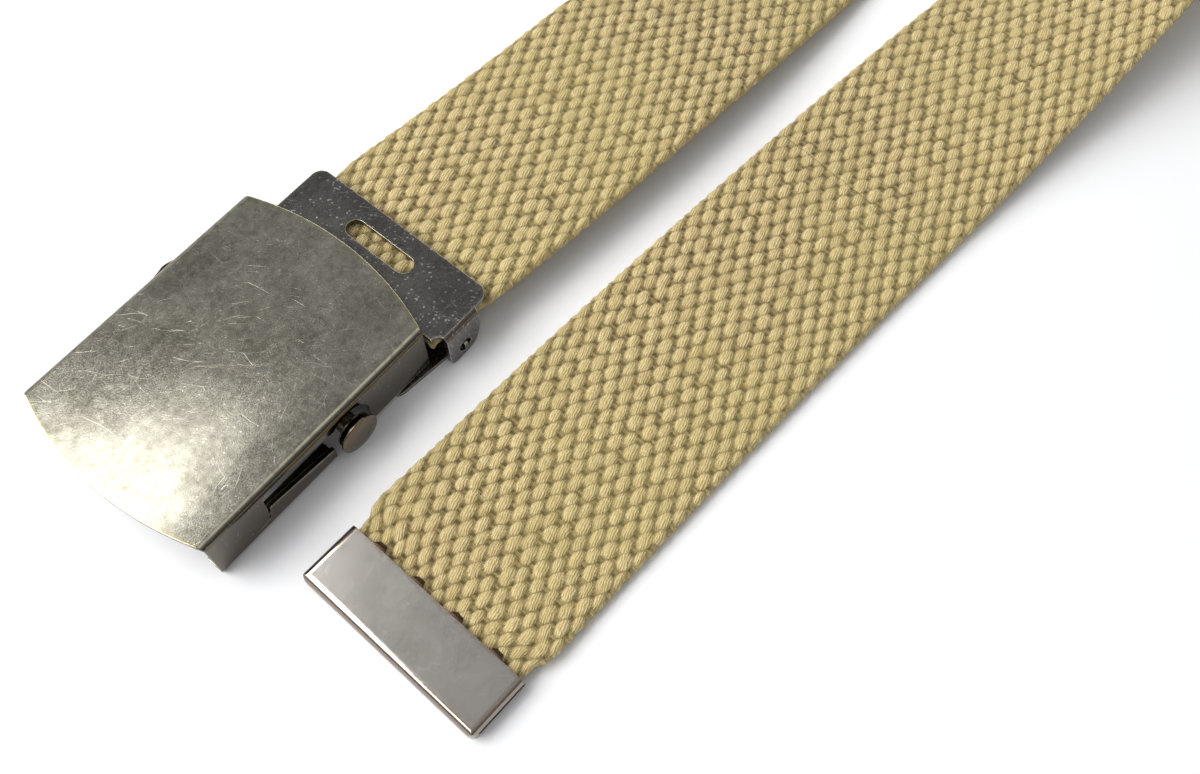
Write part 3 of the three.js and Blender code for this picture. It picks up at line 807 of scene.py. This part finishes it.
# %% One function for every metal
HAIRLINE_RUNS = ((-0.88, 14.0, 2.4), (-0.6, 12.0, 2.8), (-1.15, 12.0, 3.0), (0.4, 11.0, 4.5))
HAIRLINE_THIN = 0.026
BAND_REACH, RUB_REACH = 1.0, 0.22
SPOT_PITCH, DASH_PITCH = 0.66, 1.0


def lighter(colour, times, more):
    """A brighter colour, held below white."""
    return tuple(min(0.95, times * part + more) for part in colour)


def metal_finish(name, dark, light, worn, band, sides, roughness, grain, fleck, hair):
    """Aged plate between two tones, with worn edges, marks of the amounts given, and painted light on
    the sides: the sides colour is painted shade where darker, a painted reflection where lighter.
    """
    made, tree, shader = finish(name)
    where = in_mm(tree)
    surface = add(tree, "ShaderNodeNewGeometry").outputs["Normal"]
    upright = add(tree, "ShaderNodeSeparateXYZ", {"Vector": surface}).outputs["Z"]
    clouds = noise(tree, where, 0.17, 4.0, 0.6, 0.4)
    mottle = noise(tree, where, 0.9, 3.0, 0.55, 0.2)
    fine = noise(tree, where, 5.2, 2.0, 0.65)
    slow = math_of(tree, "ADD", product(tree, clouds, 1 - grain), product(tree, mottle, 0.5 * grain))
    tone = math_of(tree, "ADD", slow, product(tree, fine, 0.5 * grain))
    base = blend_colours(tree, ramp(tree, tone, 0.36, 0.64), dark, light)

    by_edge = near_edges(tree, BAND_REACH, 0.999, 0.93)
    wide_band = product(tree, by_edge, ramp(tree, mottle, 0.35, 0.6, 0.2, 0.8))
    banded = blend_colours(tree, wide_band, base, band)
    over_bend = product(tree, ramp(tree, upright, 0.996, 0.98), ramp(tree, upright, 0.86, 0.93), 0.8)
    cut_edge = near_edges(tree, RUB_REACH, 0.99, 0.90)
    rubbed = math_of(tree, "MAXIMUM", cut_edge, over_bend)
    rubbed = product(tree, rubbed, ramp(tree, mottle, 0.25, 0.5, 0.35, 1.0))
    # Painted light: where the surface turns to the side, the colour goes to the sides colour, painted
    # shade where that is darker and a painted reflection where it is lighter.
    painted_side_light = blend_colours(tree, ramp(tree, upright, 0.96, 0.72), banded, sides)
    rubbed_down = blend_colours(tree, rubbed, painted_side_light, worn)

    crowd = ramp(tree, clouds, 0.42, 0.60, 0.35, 1.0)
    spots = flecks(tree, where, SPOT_PITCH, 0.12 + 0.08 * fleck, 0.2 + 0.4 * fleck)
    drawn_out = in_mm(tree, -0.7, (0.8, 2.0, 2.0))
    dashes = flecks(tree, drawn_out, DASH_PITCH, 0.16 + 0.1 * fleck, 0.2 + 0.3 * fleck)
    knocks = product(tree, math_of(tree, "MAXIMUM", spots, dashes), crowd, min(1.0, 1.3 * fleck))
    knocked = blend_colours(tree, knocks, rubbed_down, lighter(light, 1.5, 0.2 + 0.2 * fleck))

    marks = None
    for number, (turned, long, wide) in enumerate(HAIRLINE_RUNS):
        one = hairlines(tree, turned, long, wide, HAIRLINE_THIN, 13.7 * number + 4.1)
        marks = one if marks is None else math_of(tree, "MAXIMUM", marks, one)
    marks = product(tree, marks, ramp(tree, upright, 0.6, 0.9), hair)
    coloured = blend_colours(tree, marks, knocked, lighter(light, 1.5, 0.2))
    tree.links.new(coloured, shader.inputs["Base Color"])
    shader.inputs["Metallic"].default_value = 1.0

    rough = ramp(tree, fine, 0.3, 0.7, roughness - 0.05, roughness + 0.07)
    rough = math_of(tree, "SUBTRACT", rough, product(tree, rubbed, 0.08))
    tree.links.new(rough, shader.inputs["Roughness"])
    relief = math_of(tree, "SUBTRACT", product(tree, fine, grain), marks)
    bump = add(tree, "ShaderNodeBump", {"Height": relief, "Strength": 0.4, "Distance": 0.025 * MM})
    tree.links.new(bump.outputs["Normal"], shader.inputs["Normal"])
    return made


# %% The metals of this belt
# For each metal, sides is painted light on faces that turn to the side: darker than the metal's own
# tones it is painted shade, lighter it is a painted reflection.
aged_plate = metal_finish(
    "aged_plate",
    dark=(0.16, 0.148, 0.114),
    light=(0.41, 0.392, 0.325),
    worn=(0.90, 0.84, 0.62),
    band=(0.42, 0.36, 0.16),
    sides=(0.125, 0.108, 0.082),
    roughness=0.155,
    grain=0.6,
    fleck=0.3,
    hair=0.26,
)
dark_plate = metal_finish(
    "dark_plate",
    dark=(0.075, 0.071, 0.066),
    light=(0.155, 0.147, 0.135),
    worn=(0.82, 0.76, 0.62),
    band=(0.16, 0.14, 0.11),
    sides=(0.15, 0.142, 0.135),
    roughness=0.26,
    grain=0.5,
    fleck=0.8,
    hair=0.4,
)
dark_brass = metal_finish(
    "dark_brass",
    dark=(0.035, 0.025, 0.016),
    light=(0.075, 0.053, 0.032),
    worn=(0.62, 0.54, 0.42),
    band=(0.16, 0.12, 0.07),
    sides=(0.125, 0.092, 0.06),
    roughness=0.20,
    grain=0.6,
    fleck=0.15,
    hair=0.0,
)
satin_nickel = metal_finish(
    "satin_nickel",
    dark=(0.43, 0.405, 0.365),
    light=(0.51, 0.485, 0.44),
    worn=(0.46, 0.33, 0.25),
    band=(0.38, 0.30, 0.25),
    sides=(0.30, 0.25, 0.21),
    roughness=0.20,
    grain=0.3,
    fleck=0.08,
    hair=0.12,
)
# Painted shade: the prongs' near-black colour stands for the shade where they dive into the web.
prong_painted_shade = metal_finish(
    "prong_painted_shade",
    dark=(0.05, 0.032, 0.022),
    light=(0.10, 0.066, 0.045),
    worn=(0.20, 0.13, 0.085),
    band=(0.12, 0.08, 0.055),
    sides=(0.08, 0.052, 0.036),
    roughness=0.35,
    grain=0.5,
    fleck=0.0,
    hair=0.0,
)
metals = (aged_plate, dark_plate, dark_brass, satin_nickel, prong_painted_shade)
print("metals:", [each.name for each in metals])

# %% [markdown]
# ## Working sheet metal
#
# Each metal piece is pressed from sheet, so it is made as a press would: an outline pushed through
# its thickness, then cut with other outlines. It could be modelled face by face, but then each size
# would sit in many places at once. Here every size is a number in an outline, and the cuts are
# booleans between simple closed shapes, done in millimetres.

# %% Outlines
ARC_STEP = math.radians(5)


def rounded(corners, closed=True):
    """A chain of corners with a rounding radius each: (a, b, radius)."""
    points = []
    for number, corner in enumerate(corners):
        here = Vector(corner[:2])
        radius = corner[2] if len(corner) > 2 else 0
        if not radius or (not closed and number in (0, len(corners) - 1)):
            points.append(tuple(here))
            continue
        back = (Vector(corners[number - 1][:2]) - here).normalized()
        on = (Vector(corners[(number + 1) % len(corners)][:2]) - here).normalized()
        half = math.acos(max(-1, min(1, back.dot(on)))) / 2
        reach = radius / math.tan(half)
        centre = here + (back + on).normalized() * (radius / math.sin(half))
        first = here + back * reach - centre
        last = here + on * reach - centre
        sweep = math.pi - 2 * half
        sense = 1 if first.cross(last) > 0 else -1
        steps = max(1, math.ceil(sweep / ARC_STEP))
        for k in range(steps + 1):
            angle = sense * sweep * k / steps
            turned = Matrix.Rotation(angle, 2) @ first
            points.append(tuple(centre + turned))
    return points


def circle(a, b, radius):
    """A round outline."""
    count = int(2 * math.pi / ARC_STEP)
    angles = [2 * math.pi * k / count for k in range(count)]
    return [(a + radius * math.cos(t), b + radius * math.sin(t)) for t in angles]


def long_hole(a, b, length, width):
    """A hole with round ends, long in its second number."""
    radius = width / 2
    count = int(math.pi / ARC_STEP)
    points = []
    for end in (1, -1):
        for k in range(count + 1):
            angle = math.pi * k / count
            offset = length / 2 - radius + radius * math.sin(angle)
            points.append((a + end * radius * math.cos(angle), b + end * offset))
    return points


def bent_sheet(line, thick):
    """The cut edge of a bent sheet: its middle line, thickened to both sides."""
    left, right = [], []
    for number, point in enumerate(line):
        before = Vector(line[max(number - 1, 0)])
        after = Vector(line[min(number + 1, len(line) - 1)])
        along = (after - before).normalized()
        off = Vector((-along.y, along.x)) * thick / 2
        left.append(tuple(Vector(point) + off))
        right.append(tuple(Vector(point) - off))
    return left + right[::-1]


print("a round hole has", len(circle(0, 0, 1)), "corners")

# %% Solids and cuts
PAST = 1.0  # how far a cutting shape runs past what it cuts
AXES = {
    "x": lambda a, b, c: (c, a, b),
    "y": lambda a, b, c: (a, c, b),
    "z": lambda a, b, c: (a, b, c),
}


def solid(name, points, faces):
    """A closed shape in mm with its faces pointing out."""
    mesh = bpy.data.meshes.new(name)
    mesh.from_pydata(points, [], faces)
    work = bmesh.new()
    work.from_mesh(mesh)
    bmesh.ops.remove_doubles(work, verts=work.verts, dist=1e-5)
    bmesh.ops.recalc_face_normals(work, faces=work.faces)
    work.to_mesh(mesh)
    work.free()
    made = bpy.data.objects.new(name, mesh)
    bpy.context.scene.collection.objects.link(made)
    return made


def prism(outline, axis, low, high):
    """An outline pushed along one axis from low to high."""
    place = AXES[axis]
    count = len(outline)
    points = [place(a, b, low) for a, b in outline] + [place(a, b, high) for a, b in outline]
    sides = [(k, (k + 1) % count, (k + 1) % count + count, k + count) for k in range(count)]
    ends = [tuple(range(count)), tuple(range(2 * count - 1, count - 1, -1))]
    return solid("shape", points, ends + sides)


def block(low, high):
    """A box between two corners."""
    outline = [(low[0], low[1]), (high[0], low[1]), (high[0], high[1]), (low[0], high[1])]
    return prism(outline, "z", low[2], high[2])


def take_modifiers(base):
    """Makes what the modifiers show the piece's own mesh."""
    shown = base.evaluated_get(bpy.context.evaluated_depsgraph_get())
    mesh = bpy.data.meshes.new_from_object(shown)
    base.modifiers.clear()
    old = base.data
    base.data = mesh
    bpy.data.meshes.remove(old)
    return base


def worked(base, other, how):
    """base with other cut off it, joined to it, or kept in common: DIFFERENCE, UNION or INTERSECT."""
    step = base.modifiers.new("work", "BOOLEAN")
    step.operation = how
    step.solver = "EXACT"
    step.object = other
    take_modifiers(base)
    bpy.data.objects.remove(other)
    return base


print("shapes are pushed along", sorted(AXES))

# %% [markdown]
# ## Finishing a pressed piece
#
# Pressed parts are tumbled with small stones until every cut edge is a little round. A bevel does the
# same, but it needs clean corners, and booleans leave slivers behind. So near corners are welded and
# flat faces are joined first. At a shallow bend a bevel can throw a thin spike outwards. Rounding only
# takes metal away, so every point is held inside the box that the piece filled before.

# %% Finish a piece
WELD = 0.02
SLIVER = 0.01
SAME_PLANE = math.radians(0.6)
CUT_ANGLE = math.radians(32)


def finished(base, name, material, node, body, edge, segments=2, weld=WELD):
    """Rounds the edges, brings the piece into the belt's frame and gives it its place and finish."""
    work = bmesh.new()
    work.from_mesh(base.data)
    bmesh.ops.remove_doubles(work, verts=work.verts, dist=weld)
    bmesh.ops.dissolve_degenerate(work, edges=work.edges, dist=SLIVER)
    bmesh.ops.dissolve_limit(work, angle_limit=SAME_PLANE, verts=work.verts, edges=work.edges)
    low = np.min([v.co for v in work.verts], axis=0)
    high = np.max([v.co for v in work.verts], axis=0)
    work.to_mesh(base.data)
    work.free()
    if edge:
        bevel = base.modifiers.new("edges", "BEVEL")
        bevel.width = edge
        bevel.segments = segments
        bevel.limit_method = "ANGLE"
        bevel.angle_limit = CUT_ANGLE
        bevel.use_clamp_overlap = False
        take_modifiers(base)
    mesh = base.data
    for vertex in mesh.vertices:
        vertex.co = np.clip(vertex.co, low, high)
    mesh.transform(TO_BELT)
    mesh.polygons.foreach_set("use_smooth", [True] * len(mesh.polygons))
    mesh.materials.clear()
    mesh.materials.append(material)
    base.name = mesh.name = name
    even = base.modifiers.new("even_shading", "WEIGHTED_NORMAL")
    even.keep_sharp = True
    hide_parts(node)
    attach(base, body)
    print(name, "faces:", len(mesh.polygons))
    return base


# %% [markdown]
# ## The cover
#
# The cover is what the eye goes to: a plate with two bowed ends, hardly crowned, whose long sides fold
# down into walls and turn in again at the floor. Each wall has a slot that slants down to a round
# arch, and a thin slit that frees the strip below it. The bent profile is pushed along the buckle,
# trimmed to the plate's outline and to the walls' length, and then the slots are cut.

# %% Cover sizes
COVER_SHEET = 0.8
COVER_HEIGHT = 9.7
COVER_CROWN = 0.5
END_BOW = 3.15
COVER_BEND = 1.1
RIM_TURN = 2.6
WALL_LIFT = 0.95
ROLLER = Vector((4.9, 4.2))
ROLLER_TRAVEL = 13.0
SLOT_SLOPE = math.radians(8.5)
SLOT_HEIGHT = 4.4
SLOT_LIFT = 0.3  # the resting roller lies this far under the slot's middle line
SLOT_CORNER = 1.5
ARCH_RADIUS = 3.4
ARCH = ROLLER + Vector((0, 0.6))
SLIT_WIDTH, SLIT_DROP, SLIT_BACK = 0.35, 2.4, 2.6
wall_middle = COVER_WIDTH / 2 - COVER_SHEET / 2


def crown_height(y):
    """How much higher the face is than at its long edges."""
    return COVER_CROWN * (1 - (y / wall_middle) ** 2)


def face_outline():
    """The plate from above: straight long sides and bowed ends."""
    half = COVER_WIDTH / 2
    radius = (half**2 + END_BOW**2) / (2 * END_BOW)
    reach = math.asin(half / radius)
    steps = 28
    bow = []
    for k in range(steps + 1):
        angle = -reach + 2 * reach * k / steps
        bow.append((WALL_END + END_BOW - radius + radius * math.cos(angle), radius * math.sin(angle)))
    return bow + [(-a, -b) for a, b in bow]


def slot_line(x):
    """Height of the slot's middle line."""
    return ROLLER.y + SLOT_LIFT + (ROLLER.x - x) * math.tan(SLOT_SLOPE)


def slot_cuts():
    """The outlines cut from each wall: the slot, the arch, its open foot and the slit."""
    back = ROLLER.x - ROLLER_TRAVEL * math.cos(SLOT_SLOPE) - SLOT_HEIGHT / 2
    half = SLOT_HEIGHT / 2
    slot = rounded(
        [
            (ROLLER.x, slot_line(ROLLER.x) + half),
            (back, slot_line(back) + half, SLOT_CORNER),
            (back, slot_line(back) - half),
            (ROLLER.x, slot_line(ROLLER.x) - half),
        ]
    )
    foot = [
        (ARCH.x - ARCH_RADIUS, ARCH.y),
        (ARCH.x - ARCH_RADIUS, -PAST),
        (ARCH.x + ARCH_RADIUS, -PAST),
        (ARCH.x + ARCH_RADIUS, ARCH.y),
    ]
    slit_line = [
        (back + SLIT_WIDTH / 2, slot_line(back) - half + SLIT_WIDTH),
        (back - SLIT_WIDTH, slot_line(back) - half - SLIT_DROP),
        (back - SLIT_BACK, slot_line(back) - half - SLIT_DROP - SLIT_WIDTH),
    ]
    return [slot, circle(*ARCH, ARCH_RADIUS), foot, bent_sheet(slit_line, SLIT_WIDTH)]


# %% Make the cover


def make_cover():
    """The bent sheet, trimmed to the plate and to its walls, with its slots cut."""
    top = COVER_HEIGHT - COVER_SHEET / 2
    low = COVER_SHEET / 2
    bend = COVER_BEND - COVER_SHEET / 2
    lip = wall_middle - RIM_TURN
    steps = 40
    crown = []
    for k in range(steps + 1):
        y = wall_middle - 2 * wall_middle * k / steps
        if 0 < k < steps and abs(y) > wall_middle - bend - 0.2:
            continue
        crown.append((y, top + crown_height(y), bend if k in (0, steps) else 0))
    line = rounded(
        [(lip, low), (wall_middle, low, bend), *crown, (-wall_middle, low, bend), (-lip, low)],
        closed=False,
    )
    reach = WALL_END + END_BOW + PAST
    half = COVER_WIDTH / 2 + PAST
    inner = lip - PAST
    under = COVER_HEIGHT - COVER_SHEET
    ceiling = COVER_HEIGHT + COVER_CROWN + PAST
    cover = prism(bent_sheet(line, COVER_SHEET), "x", -reach, reach)
    cover = worked(cover, prism(face_outline(), "z", -PAST, ceiling), "INTERSECT")
    for end in (-1, 1):
        low_x, high_x = sorted((end * WALL_END, end * reach))
        cover = worked(cover, block((low_x, -half, -PAST), (high_x, half, under)), "DIFFERENCE")
    cover = worked(cover, block((ROLLER.x, -half, -PAST), (reach, half, WALL_LIFT)), "DIFFERENCE")
    for cut in slot_cuts():
        cover = worked(cover, prism(cut, "y", inner, half), "DIFFERENCE")
        cover = worked(cover, prism(cut, "y", -half, -inner), "DIFFERENCE")
    return cover


finished(
    make_cover(),
    "face_plate_cover",
    aged_plate,
    node="face_cover",
    body="belt",
    edge=0.12,
    segments=3,
)

# %% [markdown]
# ## The clip
#
# The dark clip grips the strap's end. It is one blank: a plate with rounded outer corners and an eye
# slot, two ears bent down beside the strap, and a tongue that slides in under the cover. Small round
# notches relieve the bends. It could be drawn flat and bent by a modifier. Pushing the bent section
# through and trimming it from the side gives the same ears, with the bend's radius under control.

# %% Clip sizes
CLIP_SIDE = 2.75
CLIP_INSIDE = WEB_WIDTH + 0.2
CLIP_BEND = 1.3
CLIP_OUTER = WALL_END + 11
CLIP_CORNER = 1.8
CLIP_INSET = 0.6
SHOULDER = WALL_END + 0.45
TONGUE_X = WALL_END - 7
TONGUE_WIDTH = COVER_WIDTH - 2 * (COVER_SHEET + CLIP_SIDE + 0.45)
BOSS_WIDTH, BOSS_SIDE = 4.0, 6.5
EAR_X = WALL_END + EAR_MIDDLE
EAR_ROUND, EAR_CORNER, EAR_WAIST, EAR_LIFT = 2.6, 1.05, 3.75, 0.15
NOTCH_RADIUS, NOTCH_IN = 1.3, 0.45
EYE_LENGTH, EYE_WIDTH, EYE_INSET, EYE_SIDE = 11.9, 2.8, 4.3, 0.45
PIVOT = Vector((EAR_X - 0.15, 2.2))
PIVOT_HOLE = 1.1
clip_half = CLIP_INSIDE / 2 + CLIP_SHEET
clip_under = CLIP_TOP - CLIP_SHEET
print("clip, mm:", round(CLIP_OUTER - TONGUE_X, 1), "by", round(2 * clip_half, 1))

# %% Make the clip


def make_clip():
    """The plate with its tongue, joined to the bent ears, then cut and given its raised spots."""
    edge = clip_half - CLIP_INSET
    tongue = TONGUE_WIDTH / 2
    plate = rounded(
        [
            (CLIP_OUTER, -edge, CLIP_CORNER),
            (CLIP_OUTER, edge, CLIP_CORNER),
            (SHOULDER, edge),
            (SHOULDER, tongue),
            (TONGUE_X, tongue, CLIP_CORNER),
            (TONGUE_X, -tongue, CLIP_CORNER),
            (SHOULDER, -tongue),
            (SHOULDER, -edge),
        ]
    )
    middle = clip_half - CLIP_SHEET / 2
    bend = CLIP_BEND - CLIP_SHEET / 2
    line = rounded(
        [
            (middle, -PAST),
            (middle, CLIP_TOP - CLIP_SHEET / 2, bend),
            (-middle, CLIP_TOP - CLIP_SHEET / 2, bend),
            (-middle, -PAST),
        ],
        closed=False,
    )
    low, high = EAR_X - EAR_LENGTH / 2, EAR_X + EAR_LENGTH / 2
    ears = rounded(
        [
            (low, CLIP_TOP + PAST),
            (low, EAR_LIFT, EAR_CORNER),
            (high - EAR_CORNER, EAR_LIFT, EAR_ROUND),
            (high, EAR_WAIST, EAR_ROUND),
            (high, CLIP_TOP + PAST),
        ]
    )
    wide = clip_half + PAST
    clip = prism(bent_sheet(line, CLIP_SHEET), "x", low, high)
    clip = worked(clip, prism(ears, "y", -wide, wide), "INTERSECT")
    clip = worked(clip, prism(plate, "z", clip_under, CLIP_TOP), "UNION")
    eye = long_hole(CLIP_OUTER - EYE_INSET, EYE_SIDE, EYE_LENGTH, EYE_WIDTH)
    clip = worked(clip, prism(eye, "z", clip_under - PAST, CLIP_TOP + PAST), "DIFFERENCE")
    clip = worked(clip, prism(circle(*PIVOT, PIVOT_HOLE), "y", -wide, wide), "DIFFERENCE")
    for end in (-1, 1):
        notch = circle(low - NOTCH_RADIUS, end * (clip_half - NOTCH_IN), NOTCH_RADIUS)
        clip = worked(clip, prism(notch, "z", -PAST, CLIP_TOP + PAST), "DIFFERENCE")
        boss_top = COVER_UNDER + crown_height(BOSS_SIDE + CLIP_SIDE + BOSS_WIDTH / 2) - GAP
        spot = circle((TONGUE_X + SHOULDER) / 2, end * BOSS_SIDE, BOSS_WIDTH / 2)
        clip = worked(clip, prism(spot, "z", clip_under + 0.1, boss_top), "UNION")
    clip.data.transform(Matrix.Translation((0, -CLIP_SIDE, 0)))
    return clip


finished(
    make_clip(),
    "strap_clip",
    dark_plate,
    node="clip_frame",
    body="belt",
    edge=0.05,
)

# %% [markdown]
# ## The clamp flap
#
# Under the strap lies the lever that bites it. It is a flat blade with a comb of teeth bent up at its
# pivot edge and a lug at each end that sits in the clip's ear. It moves on its hinge. Each tooth could
# be a piece of its own, but a press cuts them all at once, and so does one zigzag outline here.

# %% Make the flap
FLAP_SHEET = 0.6
LUG_HEIGHT = 1.4
FLAP_LENGTH = 11.7
FLAP_TAPER = 1.2
TOOTH_COUNT = 11
TOOTH_HEIGHT = 1.0


def make_flap():
    """The blade, its comb of teeth and its lugs in one."""
    half = CLIP_INSIDE / 2 - GAP
    tip = PIVOT.x - FLAP_LENGTH
    low, high = PIVOT.x - FLAP_SHEET / 2, PIVOT.x + FLAP_SHEET / 2
    lever = rounded(
        [
            (tip, -half + FLAP_TAPER, CLIP_CORNER),
            (high, -half),
            (high, half),
            (tip, half - FLAP_TAPER, CLIP_CORNER),
        ]
    )
    bite = clip_under - GAP - WEB_THICK - GAP
    pitch = 2 * half / TOOTH_COUNT
    comb = [(-half, FLAP_SHEET / 2), (half, FLAP_SHEET / 2)]
    for k in range(TOOTH_COUNT):
        comb.append((half - pitch * k, bite - TOOTH_HEIGHT))
        comb.append((half - pitch * (k + 0.5), bite))
    comb.append((-half, bite - TOOTH_HEIGHT))
    reach = clip_half + FLAP_SHEET / 2
    lugs = block((low, -reach, PIVOT.y - LUG_HEIGHT / 2), (high, reach, PIVOT.y + LUG_HEIGHT / 2))
    flap = prism(lever, "z", 0, FLAP_SHEET)
    flap = worked(flap, prism(comb, "x", low, high), "UNION")
    flap = worked(flap, lugs, "UNION")
    flap.data.transform(Matrix.Translation((0, -CLIP_SIDE, 0)))
    return flap


finished(
    make_flap(),
    "clamp_lever",
    dark_plate,
    node="clamp_flap",
    body="flap",
    edge=0.07,
)

# %% [markdown]
# ## The roller
#
# The roller is a plain bar with a thin round knob outside each wall and a collar that keeps it from
# sliding sideways. A turned part is a profile spun about its axis, so it is made that way, ring by
# ring. The knob's edge is rolled over, and that narrow rim is what catches the light.

# %% Make the roller
ROLLER_RADIUS = 1.5
COLLAR_RADIUS, COLLAR_THICK = 2.75, 0.35
KNOB_RADIUS, KNOB_STAND, KNOB_THICK = 3.1, 1.25, 0.55
KNOB_DOME = 0.2
KNOB_FLAT = 1.9
LATHE_COUNT = 72


def make_roller():
    """The bar, collars and knobs, spun from one profile."""
    neck = COVER_WIDTH / 2 + GAP
    back = COVER_WIDTH / 2 + KNOB_STAND
    face = back + KNOB_THICK
    outline = [
        (ROLLER_RADIUS, neck),
        (COLLAR_RADIUS, neck, 0.06),
        (COLLAR_RADIUS, neck + COLLAR_THICK, 0.06),
        (ROLLER_RADIUS, neck + COLLAR_THICK),
        (ROLLER_RADIUS, back),
        (KNOB_RADIUS, back, 0.08),
        (KNOB_RADIUS, face - KNOB_DOME, 0.14),
        (KNOB_FLAT, face, 2.5),
        (0.3, face),
    ]
    half = rounded(outline, closed=False)
    profile = [(radius, -y) for radius, y in half][::-1] + half
    points, faces = [], []
    for radius, y in profile:
        for k in range(LATHE_COUNT):
            angle = 2 * math.pi * k / LATHE_COUNT
            x = ROLLER.x + radius * math.cos(angle)
            points.append((x, y, ROLLER.y + radius * math.sin(angle)))
    for ring in range(len(profile) - 1):
        here = ring * LATHE_COUNT
        for k in range(LATHE_COUNT):
            after = here + (k + 1) % LATHE_COUNT
            faces.append((here + k, after, after + LATHE_COUNT, here + k + LATHE_COUNT))
    last = (len(profile) - 1) * LATHE_COUNT
    faces.append(tuple(range(LATHE_COUNT)))
    faces.append(tuple(range(last, last + LATHE_COUNT)))
    return solid("shape", points, faces)


finished(
    make_roller(),
    "roller_bar",
    dark_brass,
    node="roller",
    body="roller",
    edge=0,
    weld=0.001,
)

# %% [markdown]
# ## The tip cap
#
# The cap keeps the free end from fraying. It is one thin sheet folded round the end and closed at the
# sides. A subdivided box would round every corner alike, but the fold is rounder than the corners. So
# a box rounded in all three views gives the folded outside, and a smaller one hollows it.

# %% Make the cap
CAP_ROUND = 1.2
CAP_PLACE = Matrix.Translation((TIP_X, -TIP_SIDE, 0)) @ Matrix.Rotation(TIP_HEADING, 4, "Z")


def cap_shell(offset):
    """The cap's outside at offset 0, and its hollow at offset CAP_SHEET."""
    radius = CAP_ROUND - offset
    low, high = offset, CAP_THICK - offset
    half = CAP_WIDTH / 2 - offset
    mouth = CAP_LENGTH + (PAST if offset else 0)
    past = mouth + PAST
    along = rounded([(mouth, high), (offset, high, radius), (offset, low, radius), (mouth, low)])
    across = rounded(
        [(half, high, radius), (-half, high, radius), (-half, low, radius), (half, low, radius)]
    )
    above = rounded([(past, half), (offset, half, radius), (offset, -half, radius), (past, -half)])
    shell = prism(along, "y", -half - PAST, half + PAST)
    shell = worked(shell, prism(across, "x", -PAST, past), "INTERSECT")
    return worked(shell, prism(above, "z", -PAST, CAP_THICK + PAST), "INTERSECT")


def make_cap():
    """The folded cap, set on the webbing's end."""
    cap = worked(cap_shell(0), cap_shell(CAP_SHEET), "DIFFERENCE")
    print("cap, mm:", [round(size, 2) for size in cap.dimensions])
    cap.data.transform(CAP_PLACE)
    return cap


finished(
    make_cap(),
    "tip_cap_folded",
    satin_nickel,
    node="tip_cap",
    body="belt",
    edge=0.06,
)

# %% [markdown]
# ## The prongs
#
# Four small prongs at the cap's mouth are bent down and bite into the web. Their colour is painted
# much darker than the cap, as painted shade where they dive into the web, so they are a piece of their
# own. Each is a short tooth that gets narrower, made as a row of cuts along its bend, and it dives into
# the cloth.

# %% Make the prongs
PRONG_COUNT = 4
PRONG_PITCH = 6.85
PRONG_WIDTH = 2.2
PRONG_REACH = 0.9
PRONG_DIVE = 0.75
PRONG_STEPS = 6


def make_prongs():
    """The row of prongs, set at the cap's mouth."""
    points, faces = [], []
    for number in range(PRONG_COUNT):
        middle = PRONG_PITCH * (number - (PRONG_COUNT - 1) / 2)
        for k in range(PRONG_STEPS + 1):
            share = k / PRONG_STEPS
            x = CAP_LENGTH - 0.04 + (PRONG_REACH + 0.04) * share
            top = CAP_THICK - 0.06 - PRONG_DIVE * share**2
            half = PRONG_WIDTH / 2 * (1 - 0.5 * share)
            here = len(points)
            for side in (-half, half):
                points.append((x, middle + side, top))
            for side in (half, -half):
                points.append((x, middle + side, top - CAP_SHEET))
            if k:
                for a, b in ((0, 1), (1, 2), (2, 3), (3, 0)):
                    faces.append((here - 4 + a, here - 4 + b, here + b, here + a))
            if k in (0, PRONG_STEPS):
                faces.append((here, here + 1, here + 2, here + 3))
    prongs = solid("shape", points, faces)
    prongs.data.transform(CAP_PLACE)
    return prongs


finished(
    make_prongs(),
    "tip_cap_prongs",
    prong_painted_shade,
    node="tip_cap",
    body="belt",
    edge=0.04,
)
